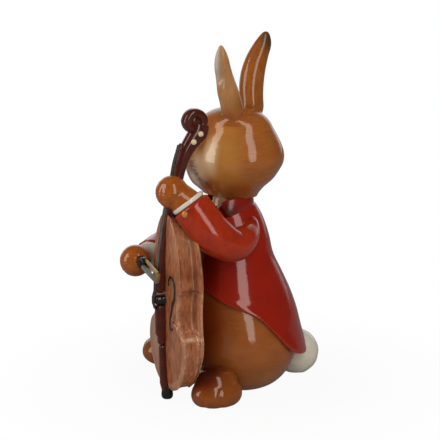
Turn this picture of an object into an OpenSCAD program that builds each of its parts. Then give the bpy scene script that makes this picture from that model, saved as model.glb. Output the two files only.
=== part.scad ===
/* [Body] */
// Height of the body casting from the surface it stands on to the neck joint
body_height = 80; // [72:1:88]
// Half of the body's width across the haunches
body_half_width = 29; // [26:0.5:32]
// Depth of the body behind its axis
body_back = 26.5; // [24:0.5:29]
// Depth of the belly before its axis
body_front = 24; // [21:0.5:27]
// Height of the rounded lower edge of the body
lower_edge_height = 22; // [18:0.5:26]
// Distance by which the rounded lower edge draws in
lower_edge_depth = 15; // [12:0.5:16]
// Wall of the hollow body casting
body_wall = 3.2; // [2.6:0.1:4]
// Radius of the vent hole in the underside
vent_r = 2.5; // [2:0.25:2.75]
// Distance of the vent hole behind the body's axis
vent_setback = 5; // [4.5:0.25:5.25]
// Radius of the flat disc that the body stands on
base_r = 9.5; // [8.5:0.5:11]
// Height of the flat disc that the body stands on
base_height = 0.6; // [0.4:0.1:1]

/* [Coat] */
// Thickness of the modelled coat
coat_thickness = 1.3; // [1:0.1:1.8]
// Clearance between a piece laid on another and the piece below it
lay_clearance = 0.2; // [0.15:0.05:0.3]
// Distance by which the coat's tails flare out from the body
coat_flare = 9; // [6:0.5:11]
// Half angle of the coat's opening at the front
coat_opening = 24; // [18:1:30]
// Width of the rolled collar's section
collar_width = 4.6; // [3.8:0.1:5.4]
// Thickness of the rolled collar's section
collar_thickness = 2; // [1.6:0.1:2.4]
// Half angle between the collar's two front ends
collar_opening = 40; // [30:1:50]

/* [Head] */
// Height of the head from the neck joint to the crown
head_height = 36.7; // [33:0.1:40]
// Half of the head's width across the cheeks
head_half_width = 17.5; // [15.5:0.5:19]
// Length of the head behind its axis
head_back = 21.3; // [19:0.1:23]
// Length of the head before its axis, at the nose
head_front = 25; // [22:0.5:27]
// Turn of the head towards the figure's right
head_turn = 56; // [50:1:60]
// Distance from the crown's axis to the middle of each ear's root
ear_spacing = 8.6; // [7.6:0.1:9.6]
// Rise of the left ear above its root
left_ear_rise = 29.8; // [27:0.2:33]
// Rise of the right ear above its root
right_ear_rise = 32.4; // [29:0.2:35]
// Distance by which each ear's tip leans outwards
ear_lean = 9.6; // [7.6:0.2:11.6]
// Width of each ear
ear_width = 10.4; // [9:0.2:11.6]
// Thickness of each ear
ear_thickness = 6; // [5:0.2:7]
// Radius of each eye
eye_r = 2.1; // [1.7:0.1:2.5]
// Half of the nose's width
nose_half_width = 2.2; // [1.8:0.1:2.6]

/* [Arms] */
// Radius of each sleeve at the shoulder
shoulder_r = 6.4; // [5.8:0.1:7.2]
// Radius of each sleeve at the elbow
elbow_r = 8.2; // [7.4:0.1:8.8]
// Radius of each sleeve at the cuff
sleeve_end_r = 7; // [6.2:0.1:7.6]
// Width of each cuff band
cuff_width = 2.2; // [1.8:0.1:2.8]
// Radius of each cuff band
cuff_r = 6.3; // [5.8:0.1:6.8]
// Radius of each cuff button
button_r = 1.3; // [1:0.1:1.6]
// Distance of each elbow from the body's axis, sideways
elbow_reach = 22; // [20:0.5:25]
// Half of the gripping left paw's width
left_paw_r = 6.9; // [6.3:0.1:7.5]
// Half of the right paw's width
right_paw_r = 6.5; // [6:0.1:6.9]

/* [Feet and tail] */
// Half of the length of each foot
foot_half_length = 10.8; // [9.4:0.2:12]
// Half of the width of each foot
foot_half_width = 9; // [8:0.5:10]
// Turn of the left foot's toes outwards
left_foot_turn = 6; // [0:1:12]
// Turn of the right foot's toes outwards
right_foot_turn = 38; // [30:1:44]
// Height of each foot over its toes
foot_height = 14; // [12:0.5:16]
// Distance of the left foot from the body's axis, sideways
left_foot_side = 23; // [21:0.5:27]
// Distance of the right foot from the body's axis, sideways
right_foot_side = 30.5; // [28:0.5:32]
// Distance of each foot from the body's axis, forwards
foot_forward = 18.4; // [17:0.1:20]
// Radius of the tail
tail_r = 9.8; // [8.5:0.1:11]

/* [Bass] */
// Length of the bass's body
bass_length = 73; // [66:1:78]
// Half of the width of the bass's lower bout
bass_half_width = 18; // [16:0.5:20]
// Depth of the bass's ribs
rib_depth = 8.6; // [7.6:0.2:9.6]
// Rise of the arched front and back of the bass
arch_rise = 1.2; // [0.8:0.1:1.6]
// Distance of the bass's centre line from the body's axis, to the figure's left
bass_side = 10; // [8:0.5:12]
// Length of the end pin below the bass's body
end_pin_length = 4.4; // [3.6:0.2:5.2]
// Radius of the end pin
end_pin_r = 2.4; // [1.9:0.1:2.8]
// Width of the fingerboard
fingerboard_width = 3.6; // [3.2:0.1:4]
// Height of the fingerboard over the front of the bass
fingerboard_height = 3.5; // [3:0.1:4]
// Length of the neck from the bass's body to the nut
neck_length = 27.6; // [25:0.2:30]
// Distance by which the nut stands behind the lower end of the fingerboard
neck_setback = 11.4; // [10.4:0.1:12.4]
// Depth of the neck behind its fingerboard
neck_depth = 4.4; // [4:0.1:5]
// Radius of the scroll
scroll_r = 4.5; // [4:0.1:4.8]
// Width of the scroll
scroll_width = 6; // [5:0.1:6.6]
// Radius of each tuning peg's end
peg_r = 1.15; // [0.9:0.05:1.3]
// Radius of each string
string_r = 0.3; // [0.2:0.05:0.35]
// Spacing of the strings
string_spacing = 0.85; // [0.75:0.05:0.95]
// Width of the bridge
bridge_width = 6; // [5:0.2:7]
// Height of the bridge over the front of the bass
bridge_height = 4.2; // [3.7:0.1:4.8]

/* [Bow] */
// Length of the bow that reaches past the paw
bow_length = 18; // [16:0.5:20]
// Radius of the bow's stick
stick_r = 1.1; // [0.9:0.05:1.25]
// Width of the band of hair
hair_width = 1.8; // [1.4:0.1:2.2]
// Distance between the stick and the hair
hair_gap = 2.9; // [2.6:0.1:3.3]
// Edge length of the frog
frog_size = 4.4; // [3.8:0.1:5]

/* [Hidden] */

fur = "#b5702f";
cream = "#e9e2d2";
coat_red = "#a32113";
collar_red = "#6d0f0a";
sleeve_red = "#b92f16";
wood = "#a9745a";
dark_wood = "#4a1810";
black = "#1c1614";
gold = "#d98a2b";
steel = "#6f7378";

// Fineness of round bores, rods and beads
$fn = 32;

// Points around the large, middle and small free-form pieces
around_large = 36;
around_middle = 20;
around_small = 6;

// Body section shares at equal steps of height: half width, front depth, back depth
body_shares = [
    [0.983, 1.05, 0.983],
    [0.983, 1, 0.983],
    [1, 0.98, 1.01],
    [0.966, 1, 0.97],
    [0.897, 1, 0.902],
    [0.793, 0.96, 0.798],
    [0.672, 0.875, 0.66],
    [0.569, 0.77, 0.515],
    [0.5, 0.667, 0.445],
    [0.38, 0.54, 0.345],
    [0.205, 0.4, 0.195]
];
// Heights of the body's rings as shares of its height
body_ring_shares = [0, 0.005, 0.018, 0.04, 0.075, 0.12, 0.2, 0.28, 0.36, 0.44, 0.52, 0.6, 0.68, 0.76, 0.84, 0.92, 1];
cavity_ring_shares = [0, 0.03, 0.09, 0.18, 0.3, 0.45, 0.6, 0.75, 0.88, 1];
// Head section shares at equal steps of height: half width, front length, back length
head_shares = [
    [0.49, 0.5, 0.43],
    [0.66, 0.72, 0.55],
    [0.83, 0.9, 0.74],
    [0.935, 0.96, 0.865],
    [0.985, 1, 0.955],
    [0.97, 0.97, 0.966],
    [0.9, 0.84, 0.915],
    [0.81, 0.74, 0.826],
    [0.7, 0.66, 0.732],
    [0.655, 0.6, 0.643],
    [0.63, 0.56, 0.624]
];
head_ring_shares = [0, 0.05, 0.12, 0.2, 0.28, 0.36, 0.44, 0.52, 0.6, 0.68, 0.76, 0.84, 0.9, 0.95, 0.98, 0.995];
// How much the head narrows from the cheeks to the nose
muzzle_share = 0.3;
// Share of the head's height at which the crown starts to close
crown_share = 0.83;
// Hem height shares of the body's height, at equal steps from the front opening to the back seam
hem_shares = [0.57, 0.54, 0.497, 0.465, 0.419, 0.325, 0.228, 0.19, 0.17, 0.155, 0.4];
// Rows of the coat from the hem to the collar: share of its height, share of its thickness
coat_row_shares = [[0, 0.4], [0.03, 1], [0.14, 1], [0.28, 1], [0.42, 1], [0.56, 1], [0.7, 1], [0.85, 1], [0.97, 1], [1, 0.5]];
// Ear shares at equal steps of its rise: outward lean, forward bow, width, thickness
ear_shares = [
    [0, 0, 0.82, 1.2],
    [0.03, 0.02, 0.9, 1.12],
    [0.16, 0.045, 0.98, 0.96],
    [0.39, 0.06, 0.97, 0.84],
    [0.65, 0.05, 0.9, 0.72],
    [0.88, 0.01, 0.76, 0.56],
    [1, -0.02, 0.6, 0.44]
];
ear_ring_shares = [0, 0.08, 0.17, 0.27, 0.38, 0.49, 0.6, 0.7, 0.79, 0.87, 0.93, 0.97, 0.992];
// Share of the ear's rise over which its tip closes
ear_tip_share = 0.24;
// Share of the ear's thickness by which its inner side is dished
ear_dish_share = 0.35;
// Points of the bass's half outline as shares of its half width and its length
lower_bout_shares = [[0, 0], [0.3, 0.007], [0.62, 0.045], [0.87, 0.125], [1, 0.225], [0.98, 0.285], [0.88, 0.33]];
waist_shares = [[0.86, 0.345], [0.72, 0.37], [0.645, 0.44], [0.64, 0.5], [0.7, 0.565], [0.76, 0.59]];
upper_bout_shares = [[0.79, 0.6], [0.82, 0.67], [0.79, 0.76], [0.67, 0.86], [0.44, 0.945], [0.25, 0.985], [0, 1]];
// Half outline of the bass's back: share of its length, share of its half width
back_outline_shares = [
    [0, 0],
    [0.002, 0.21],
    [0.05, 0.47],
    [0.148, 0.76],
    [0.27, 0.97],
    [0.4, 1],
    [0.55, 1],
    [0.7, 0.97],
    [0.85, 0.8],
    [0.95, 0.5],
    [0.985, 0.25],
    [1, 0]
];
// Rings of an arched plate: share of the outline, share of the arch's rise
arch_shares = [[1, 0], [0.93, 0.3], [0.75, 0.65], [0.5, 0.9], [0.2, 1]];
// How far the ribs stand back from the edges of the plates
rib_share = 0.965;
// Front line of the fingerboard: 0 to 1 along its part over the bass's body and 1 to 2 along the neck,
// setback as a share of the nut's setback
board_line_shares = [
    [0, 0],
    [0.158, 0],
    [0.465, 0.126],
    [0.669, 0.194],
    [0.911, 0.325],
    [1.134, 0.435],
    [1.546, 0.671],
    [1.784, 0.775],
    [2, 0.995]
];
// Middle line of the neck from its root: rise as a share of the neck's length, setback as a share of the
// nut's setback, half depth as a share of the neck's depth, half width as a share of the fingerboard's width
neck_shares = [
    [-0.116, 0.702, 0.68, 0.68],
    [0.239, 0.775, 0.5, 0.66],
    [0.58, 0.92, 0.5, 0.66],
    [0.864, 1.167, 0.61, 0.75],
    [1.036, 1.453, 0.75, 0.83],
    [1.143, 1.671, 0.86, 0.85],
    [1.263, 1.743, 0.8, 0.8]
];
// Place of the scroll's middle from the neck's root: share of the neck's length, share of the nut's setback
scroll_shares = [1.315, 1.539];
// Places of the tuning pegs from the neck's root: share of the neck's length, share of the nut's setback
peg_shares = [[1.138, 1.641], [1.029, 1.378]];
// Path of a sound hole's curved stroke: share of the bass's half width, share of its length
sound_hole_shares = [
    [0.28, 0.611],
    [0.3, 0.645],
    [0.41, 0.668],
    [0.52, 0.65],
    [0.57, 0.602],
    [0.53, 0.549],
    [0.44, 0.501],
    [0.38, 0.453],
    [0.34, 0.406],
    [0.39, 0.372],
    [0.5, 0.386],
    [0.48, 0.425]
];

// Heights and places worked out from the sizes above
overrun = body_wall;
coat_outer = lay_clearance + coat_thickness;
coat_top = body_height * 0.93;
cavity_bottom = base_height + body_wall;
passage_r = body_wall * 1.2;
bass_base = end_pin_length;
bass_top = bass_base + bass_length;
bass_back_y = -(body_front + coat_outer + arch_rise + lay_clearance);
bass_front_y = bass_back_y - rib_depth;
plate_top_y = bass_front_y - arch_rise;
board_front_y = plate_top_y - fingerboard_height;
board_start = bass_base + bass_length * 0.56;
nut_height = bass_top + neck_length;
board_length = nut_height - board_start;
board_depth = fingerboard_height * 0.6;
bridge_z = bass_base + bass_length * 0.52;
bridge_thickness = bridge_height * 0.9;
string_lift = string_r + lay_clearance / 4;
bow_z = bass_base + bass_length * 0.716;
bow_y = board_y(bow_z) - 2 * string_r - lay_clearance / 2 - stick_r;
bow_pitch = 7;
bow_reach = bow_length * 0.33;
frog_x = -(bow_length - bow_reach);
head_base = body_height;
cavity_top = body_height * 0.9;
head_cavity_shares = [0.1, 0.2, 0.35, 0.5, 0.65, 0.78, 0.87, 0.91];
ear_setback = head_back * 0.14;
shoulder_height = body_height * 0.905;
shoulder_side = body_radii(shoulder_height, shoulder_r * 0.4)[0];
left_shoulder = [shoulder_side, -shoulder_r * 0.35, shoulder_height];
right_shoulder = [-shoulder_side, -shoulder_r * 0.35, shoulder_height];
left_elbow = [elbow_reach, -elbow_reach * 0.645, body_height * 0.828];
right_elbow = [-elbow_reach * 1.12, -elbow_reach * 0.44, body_height * 0.73];
grip_z = bass_top + neck_length * 0.33;
left_paw_centre = [bass_side + left_paw_r * 0.3, board_y(grip_z) + left_paw_r * 0.25, grip_z];
left_wrist = left_paw_centre + left_paw_r * [0.6, 0.7, -0.7];
right_paw_centre = [
    bass_side + frog_x - right_paw_r,
    bow_y - right_paw_r * 0.08,
    bow_z - frog_x * sin(bow_pitch) - hair_gap / 2 - right_paw_r * 0.35
];
right_wrist = right_paw_centre + right_paw_r * [-0.22, 1.2, 0.4];

// Smooth curve through equally spaced rows, with t from 0 to 1
function row_at(rows, t) = let(
    last = len(rows) - 1,
    s = min(max(t, 0), 1) * last,
    i = min(floor(s), last - 1),
    f = s - i,
    a = rows[max(i - 1, 0)],
    b = rows[i],
    c = rows[i + 1],
    d = rows[min(i + 2, last)]
) b + f * (c - a) / 2 + f * f * (a - 2.5 * b + 2 * c - d / 2) + f * f * f * (1.5 * (b - c) + (d - a) / 2);

// The same curve sampled at count + 1 points
function curve(rows, count) = [for (i = [0:count]) row_at(rows, i / count)];

// Value at a share along a line of [share, value] rows
function line_at(rows, s, i = 0) = i >= len(rows) - 2 || s <= rows[i + 1][0]
    ? rows[i][1] + (rows[i + 1][1] - rows[i][1]) * (s - rows[i][0]) / (rows[i + 1][0] - rows[i][0])
    : line_at(rows, s, i + 1);

// Rise from 0 to 1 along a quarter circle, as t goes from 0 to 1
function rounded(t) = sqrt(max(0, 1 - pow(1 - min(max(t, 0), 1), 2)));

function unit(v) = v / norm(v);
function mean(points) = [for (p = points) 1] * points / len(points);

// Angles at equal steps round a ring
function ring_angles(n) = [for (i = [0:n - 1]) 360 * i / n];

// Ring round a point, in the plane of the unit vectors u and v
function ring(c, u, v, a, b, n) = [for (t = ring_angles(n)) c + u * a * cos(t) + v * b * sin(t)];

// Direction of a path of points at point i
function heading(path, i) = unit(path[min(i + 1, len(path) - 1)] - path[max(i - 1, 0)]);

// Closed surface over rings that all have the same number of points
module loft(rings) {
    n = len(rings[0]);
    m = len(rings);
    points = concat([for (r = rings) each r], [mean(rings[0]), mean(rings[m - 1])]);
    sides = [
        for (i = [0:m - 2], j = [0:n - 1])
            let(a = i * n + j, b = i * n + (j + 1) % n)
            each [[a, a + n, b + n], [a, b + n, b]]
    ];
    bottom = [for (j = [0:n - 1]) [m * n, j, (j + 1) % n]];
    top = [for (j = [0:n - 1]) [m * n + 1, (m - 1) * n + (j + 1) % n, (m - 1) * n + j]];
    polyhedron(points = points, faces = concat(sides, bottom, top), convexity = 8);
}

// Free-form pieces are joined and cut as one surface
module free_form() {
    resize([0, 0, 0])
        children();
}

// Turns a child's +Z towards the point b and stands it on the point a
module aim(a, b) {
    v = b - a;
    translate(a)
        rotate([0, acos(v[2] / norm(v)), atan2(v[1], v[0])])
            children();
}

// Body

// Half width, front depth and back depth of the body at a height, grown by a distance
function body_radii(z, grow) = let(
    row = row_at(body_shares, z / body_height),
    draw = lower_edge_depth * (1 - rounded(z / lower_edge_height)) - grow
) [row[0] * body_half_width - draw, row[1] * body_front - draw, row[2] * body_back - draw];

// Point of the body's surface at an angle from the figure's left towards its back
function body_point(z, t, grow) = let(r = body_radii(z, grow))
    [r[0] * cos(t), (sin(t) > 0 ? r[2] : r[1]) * sin(t), z];

function body_rings(bottom, top, grow, shares) = [
    for (s = shares) let(z = bottom + (top - bottom) * s) [for (t = ring_angles(around_large)) body_point(z, t, grow)]
];

module body_form(grow) loft(body_rings(base_height, body_height, grow, body_ring_shares));

module body() {
    color(fur)
        difference() {
            union() {
                cylinder(r = base_r, h = base_height + body_wall / 2);
                free_form()
                    difference() {
                        body_form(0);
                        loft(body_rings(cavity_bottom, cavity_top, -body_wall, cavity_ring_shares));
                        translate([0, 0, cavity_top - overrun])
                            cylinder(r = passage_r, h = body_height);
                    }
            }
            translate([0, vent_setback, -overrun])
                cylinder(r = vent_r, h = cavity_bottom + 2 * overrun);
        }
}

// Coat

function hem_height(t) = body_height * row_at(hem_shares, 1 - abs(t - 90) / (180 - coat_opening));
function coat_lift(z) = coat_flare * pow(max(0, 0.35 - z / body_height) / 0.35, 2);
function coat_point(t, s, grow) = let(z = hem_height(t) + s * (coat_top - hem_height(t)))
    body_point(z, t, grow + coat_lift(z));

module coat_form() {
    columns = 46;
    rows = len(coat_row_shares);
    angles = [for (j = [0:columns]) coat_opening - 90 + (360 - 2 * coat_opening) * j / columns];
    outer = [for (row = coat_row_shares, t = angles) coat_point(t, row[0], lay_clearance + coat_thickness * row[1])];
    inner = [for (row = coat_row_shares, t = angles) coat_point(t, row[0], lay_clearance)];
    n = columns + 1;
    k = len(outer);
    last = (rows - 1) * n;
    faces = [
        for (i = [0:rows - 2], j = [0:columns - 1])
            let(a = i * n + j, b = a + 1)
            each [[a, a + n, b + n], [a, b + n, b], [k + a, k + b + n, k + a + n], [k + a, k + b, k + b + n]],
        for (j = [0:columns - 1])
            each [
                [j, j + 1, k + j + 1],
                [j, k + j + 1, k + j],
                [last + j, k + last + j + 1, last + j + 1],
                [last + j, k + last + j, k + last + j + 1]
            ],
        for (i = [0:rows - 2])
            let(a = i * n, b = a + columns)
            each [
                [a, k + a, k + a + n],
                [a, k + a + n, a + n],
                [b, k + b + n, k + b],
                [b, b + n, k + b + n]
            ]
    ];
    polyhedron(points = concat(outer, inner), faces = faces, convexity = 8);
}

module coat() {
    color(coat_red)
        coat_form();
}

// The collar's roll follows the neck, lower at its two front ends
module collar_form() {
    steps = 30;
    path = [
        for (i = [0:steps])
            let(
                t = collar_opening - 90 + (360 - 2 * collar_opening) * i / steps,
                low = (1 - sin(t)) / 2,
                z = coat_top + collar_width * (0.5 - 1.25 * low),
                lift = coat_outer * min(1, 1.4 * low) + collar_thickness / 2
            )
            body_point(z, t, lift)
    ];
    loft([
        for (i = [0:steps])
            let(
                w = heading(path, i),
                out = unit([path[i][0], path[i][1], 0]),
                u = unit(out - w * (out * w)),
                v = cross(w, u),
                end = max(0.25, rounded(5 * min(i, steps - i) / steps))
            )
            ring(path[i], u, v, collar_thickness / 2 * end, collar_width / 2 * end, 2 * around_small)
    ]);
}

module collar() {
    color(collar_red)
        free_form()
            difference() {
                collar_form();
                body_form(0);
                coat_form();
            }
}

// Tail and feet

module tail() {
    centre = [0, body_back * 1.1, tail_r * 0.86];
    rise_shares = [-0.86, -0.8, -0.66, -0.46, -0.24, 0, 0.24, 0.46, 0.66, 0.82, 0.93, 0.985];
    color(cream)
        free_form()
            difference() {
                translate(centre)
                    loft([
                        for (s = rise_shares)
                            ring([0, 0, tail_r * s], [1, 0, 0], [0, 1, 0], tail_r * sqrt(1 - s * s), tail_r * sqrt(1 - s * s), around_middle)
                    ]);
                body_form(0);
                coat_form();
            }
}

// Rounded foot with two grooves between its three toes
module foot_form() {
    rise_shares = [0, 0.07, 0.18, 0.32, 0.48, 0.63, 0.77, 0.88, 0.96];
    n = 36;
    loft([
        for (s = rise_shares)
            let(size = s < 0.35 ? 0.66 + 0.34 * rounded(s / 0.35) : rounded((1 - s) / 0.65))
            [
                for (t = ring_angles(n))
                    let(front = max(-sin(t), 0), toe = 1 - 0.03 * front * front * (1 - cos(12 * (t + 90))))
                    [
                        foot_half_width * size * toe * cos(t),
                        foot_half_length * (size * toe * sin(t) + 0.16 * s),
                        foot_height * s
                    ]
            ]
    ]);
}

// Instep that rises from the foot to the haunch
module instep_form() {
    rise_shares = [-0.97, -0.8, -0.5, -0.15, 0.2, 0.5, 0.75, 0.92, 0.99];
    translate([-foot_half_width * 0.15, foot_half_length * 0.36, foot_height * 0.73])
        loft([
            for (s = rise_shares)
                let(size = sqrt(1 - s * s) * foot_half_width * 0.77)
                ring([0, 0, foot_height * 0.43 * s], [1, 0, 0], [0, 1, 0], size, size, around_middle)
        ]);
}

module foot(side, reach, turn) {
    color(fur)
        free_form()
            difference() {
                translate([side * reach, -foot_forward, 0])
                    rotate([0, 0, side * turn]) {
                        foot_form();
                        scale([side, 1, 1])
                            instep_form();
                    }
                body_form(0);
                bass_body_form();
            }
}

module left_foot() foot(1, left_foot_side, left_foot_turn);
module right_foot() foot(-1, right_foot_side, right_foot_turn);

// Head

function head_radii(h) = let(
    row = row_at(head_shares, h),
    crown = rounded((1 - h) / (1 - crown_share))
) [row[0] * head_half_width * crown, row[1] * head_front * crown, row[2] * head_back * crown];

// Point of the head's surface at a share of its height and an angle from its left towards its back
function head_point(h, t, grow) = let(
    r = head_radii(h),
    narrow = 1 - muzzle_share * max(-sin(t), 0)
) [(r[0] + grow) * cos(t) * narrow, ((sin(t) > 0 ? r[2] : r[1]) + grow) * sin(t), head_base + head_height * h];

function head_rings(shares, grow) = [for (h = shares) [for (t = ring_angles(around_large)) head_point(h, t, grow)]];

module turn_head() {
    rotate([0, 0, -head_turn])
        children();
}

module head_form() loft(head_rings(head_ring_shares, 0));

module head() {
    color(fur)
        turn_head()
            free_form()
                difference() {
                    head_form();
                    loft(head_rings(head_cavity_shares, -body_wall));
                    translate([0, 0, head_base - overrun])
                        cylinder(r = passage_r, h = overrun + head_height / 2);
                }
}

// Ear with a dished inner side that faces outwards and forwards
module ear_form(side, rise) {
    root = [side * ear_spacing, ear_setback, head_base + head_height * 0.92];
    inward = [side * 0.515, 0.858, 0];
    inner = [side * 0.858, -0.515, 0];
    loft([
        for (s = ear_ring_shares)
            let(
                row = row_at(ear_shares, s),
                closing = rounded((1 - s) / ear_tip_share),
                a = ear_width / 2 * row[2] * closing,
                b = ear_thickness * row[3] * closing,
                c = root + [side * ear_lean * row[0], -rise * row[1], rise * s]
            )
            [
                for (t = side * ring_angles(around_middle))
                    c + inward * (a * cos(t)) + inner * (b * (sin(t) > 0 ? -ear_dish_share : 1) * sin(t))
            ]
    ]);
}

module ear(side, rise) {
    color(fur)
        turn_head()
            free_form()
                difference() {
                    ear_form(side, rise);
                    head_form();
                }
}

module left_ear() ear(1, left_ear_rise);
module right_ear() ear(-1, right_ear_rise);

module eyes() {
    color(black)
        turn_head()
            free_form()
                difference() {
                    for (t = [-38, -142])
                        translate(head_point(0.6, t, -eye_r * 0.45))
                            sphere(r = eye_r, $fn = around_middle);
                    head_form();
                }
}

module nose() {
    color(collar_red)
        turn_head()
            free_form()
                difference() {
                    translate(head_point(0.46, -90, -nose_half_width * 0.3))
                        scale([1, 0.7, 0.7])
                            sphere(r = nose_half_width, $fn = around_middle);
                    head_form();
                }
}

// Arms

module sleeve_form(shoulder, elbow, wrist) {
    end = norm(wrist - elbow);
    disc = cuff_width / 2;
    hull() {
        translate(shoulder)
            sphere(r = shoulder_r, $fn = around_middle);
        translate(elbow)
            sphere(r = elbow_r, $fn = around_middle);
    }
    hull() {
        translate(elbow)
            sphere(r = elbow_r, $fn = around_middle);
        aim(elbow, wrist)
            translate([0, 0, end - disc])
                cylinder(r = sleeve_end_r, h = disc, $fn = around_middle);
    }
}

module left_sleeve_form() sleeve_form(left_shoulder, left_elbow, left_wrist);
module right_sleeve_form() sleeve_form(right_shoulder, right_elbow, right_wrist);

module cuff_form(elbow, wrist) {
    aim(elbow, wrist)
        translate([0, 0, norm(wrist - elbow) + lay_clearance / 2])
            cylinder(r1 = cuff_r * 0.98, r2 = cuff_r, h = cuff_width, $fn = around_middle);
}

// Room of a sleeve and its cuff, which a paw stays out of
module arm_room(elbow, wrist) {
    aim(elbow, wrist)
        cylinder(r = 2 * cuff_r, h = norm(wrist - elbow) + lay_clearance / 2 + cuff_width, $fn = around_middle);
}

// What a sleeve, cuff or paw gives way to
module bass_grip_forms() {
    bass_neck_form();
    fingerboard_form();
    bass_body_form();
}

module left_sleeve() {
    color(sleeve_red)
        free_form()
            difference() {
                left_sleeve_form();
                body_form(coat_outer);
                collar_form();
                head_turned_form();
                bass_grip_forms();
            }
}

module right_sleeve() {
    color(sleeve_red)
        free_form()
            difference() {
                right_sleeve_form();
                body_form(coat_outer);
                collar_form();
                head_turned_form();
                bass_body_form();
            }
}

module head_turned_form() {
    turn_head()
        head_form();
}

module left_cuff() {
    color(cream)
        free_form()
            difference() {
                cuff_form(left_elbow, left_wrist);
                bass_grip_forms();
            }
}

module right_cuff() {
    color(cream)
        free_form()
            difference() {
                cuff_form(right_elbow, right_wrist);
                bass_body_form();
            }
}

// Button on the sleeve's outer side, just behind the cuff
module button_form(elbow, wrist, angle) {
    aim(elbow, wrist)
        rotate([0, 0, angle])
            translate([sleeve_end_r * 0.97, 0, norm(wrist - elbow) - button_r * 1.2])
                sphere(r = button_r, $fn = 2 * around_small);
}

module cuff_buttons() {
    color(gold)
        free_form() {
            difference() {
                button_form(left_elbow, left_wrist, 50);
                left_sleeve_form();
            }
            difference() {
                button_form(right_elbow, right_wrist, -50);
                right_sleeve_form();
            }
        }
}

// Rounded paw with a short wrist that reaches the cuff
module paw_form(centre, r, wrist) {
    reach = norm(wrist - centre);
    rise_shares = [-0.985, -0.9, -0.72, -0.46, -0.16, 0.16, 0.46, 0.72, 0.9, 0.985];
    translate(centre)
        loft([
            for (s = rise_shares)
                let(size = r * sqrt(1 - s * s))
                [
                    for (t = ring_angles(around_middle))
                        let(finger = 1 - 0.03 * max(-sin(t), 0) * (1 - cos(720 * s)))
                        [size * finger * cos(t), size * finger * sin(t), r * s]
                ]
        ]);
    aim(wrist, centre)
        translate([0, 0, cuff_width])
            cylinder(r = cuff_r * 0.8, h = reach - cuff_width, $fn = around_middle);
}

module left_paw() {
    color(fur)
        free_form()
            difference() {
                paw_form(left_paw_centre, left_paw_r, left_wrist);
                arm_room(left_elbow, left_wrist);
                bass_grip_forms();
                strings_form();
            }
}

module right_paw() {
    color(fur)
        free_form()
            difference() {
                paw_form(right_paw_centre, right_paw_r, right_wrist);
                arm_room(right_elbow, right_wrist);
                bow_frog_form(lay_clearance / 2);
                bass_body_form();
            }
}

// Bass

// Half outline of the bass's front, from its lowest to its highest point
front_outline = concat(curve(lower_bout_shares, 10), curve(waist_shares, 7), curve(upper_bout_shares, 10));
back_outline = [for (p = front_outline) [line_at(back_outline_shares, p[1]), p[1]]];

// Ring of the bass's body: an outline shrunk about its middle by a share, at a depth
function bass_ring(half, share, y) = let(
    m = len(half),
    middle = bass_base + bass_length / 2,
    right = [for (p = half) [bass_half_width * p[0] * share, bass_length * (p[1] - 0.5) * share + middle]],
    left = [for (i = [m - 2:-1:1]) [-right[i][0], right[i][1]]]
) [for (p = concat(right, left)) [bass_side + p[0], y, p[1]]];

module bass_body_form() {
    edge = arch_rise * 0.7;
    loft(concat(
        [
            for (i = [len(arch_shares) - 1:-1:0])
                let(row = arch_shares[i])
                bass_ring(back_outline, row[0], bass_back_y + arch_rise * row[1])
        ],
        [
            bass_ring(back_outline, 1, bass_back_y - edge),
            bass_ring(back_outline, rib_share, bass_back_y - edge * 1.2),
            bass_ring(front_outline, rib_share, bass_front_y + edge * 1.2),
            bass_ring(front_outline, 1, bass_front_y + edge)
        ],
        [for (row = arch_shares) bass_ring(front_outline, row[0], bass_front_y - arch_rise * row[1])]
    ));
}

module bass_body() {
    color(wood)
        bass_body_form();
}

// Curved stroke inlaid on the front of the bass
module sound_hole(side) {
    steps = 16;
    r = string_r;
    path = [
        for (p = curve(sound_hole_shares, steps))
            [bass_side + side * bass_half_width * p[0], plate_top_y - r, bass_base + bass_length * p[1]]
    ];
    loft([
        for (i = [0:steps])
            let(w = heading(path, i), u = cross([0, 1, 0], w))
            ring(path[i], u, [0, 1, 0], r * 1.6, r, around_small)
    ]);
}

module f_holes() {
    color(black) {
        sound_hole(1);
        sound_hole(-1);
    }
}

// Front of the fingerboard at a height
function board_y(z) = let(
    run = z < bass_top ? (z - board_start) / (bass_top - board_start) : 1 + (z - bass_top) / neck_length
) board_front_y + neck_setback * line_at(board_line_shares, run);

// Section of a bar on the front of the bass, with chamfered front edges
function bar_ring(z, front, back, half) = let(c = half / 3) [
    for (p = [[1, 0], [-1, 0], [-1, 1], [-1, 2], [1, 2], [1, 1]])
        [
            bass_side + p[0] * (p[1] == 2 ? half - c : half),
            p[1] == 0 ? back : (p[1] == 1 ? front + c : front),
            z
        ]
];

module fingerboard_form() {
    steps = 16;
    loft([
        for (i = [0:steps])
            let(
                z = board_start + board_length * i / steps,
                on_plate = z < bass_top - neck_depth ? fingerboard_height + arch_rise : board_depth
            )
            bar_ring(z, board_y(z), board_y(z) + on_plate, fingerboard_width / 2)
    ]);
}

module fingerboard() {
    color(dark_wood)
        free_form()
            difference() {
                fingerboard_form();
                bass_body_form();
            }
}

module bass_neck_form() {
    steps = 14;
    rows = curve(neck_shares, steps);
    path = [for (p = rows) [bass_side, board_front_y + neck_setback * p[1], bass_top + neck_length * p[0]]];
    loft([
        for (i = [0:steps])
            let(w = heading(path, i), v = cross(w, [1, 0, 0]))
            ring(path[i], [1, 0, 0], v, fingerboard_width * rows[i][3], neck_depth * rows[i][2], 2 * around_small)
    ]);
}

scroll_centre = [bass_side, board_front_y + neck_setback * scroll_shares[1], bass_top + neck_length * scroll_shares[0]];

module bass_neck() {
    color(dark_wood)
        free_form()
            difference() {
                bass_neck_form();
                fingerboard_form();
                bass_body_form();
                scroll_blank();
            }
}

// Cylinder that the scroll fills
module scroll_blank() {
    translate(scroll_centre)
        rotate([0, 90, 0])
            cylinder(r = scroll_r, h = scroll_width, center = true, $fn = around_large);
}

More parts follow.
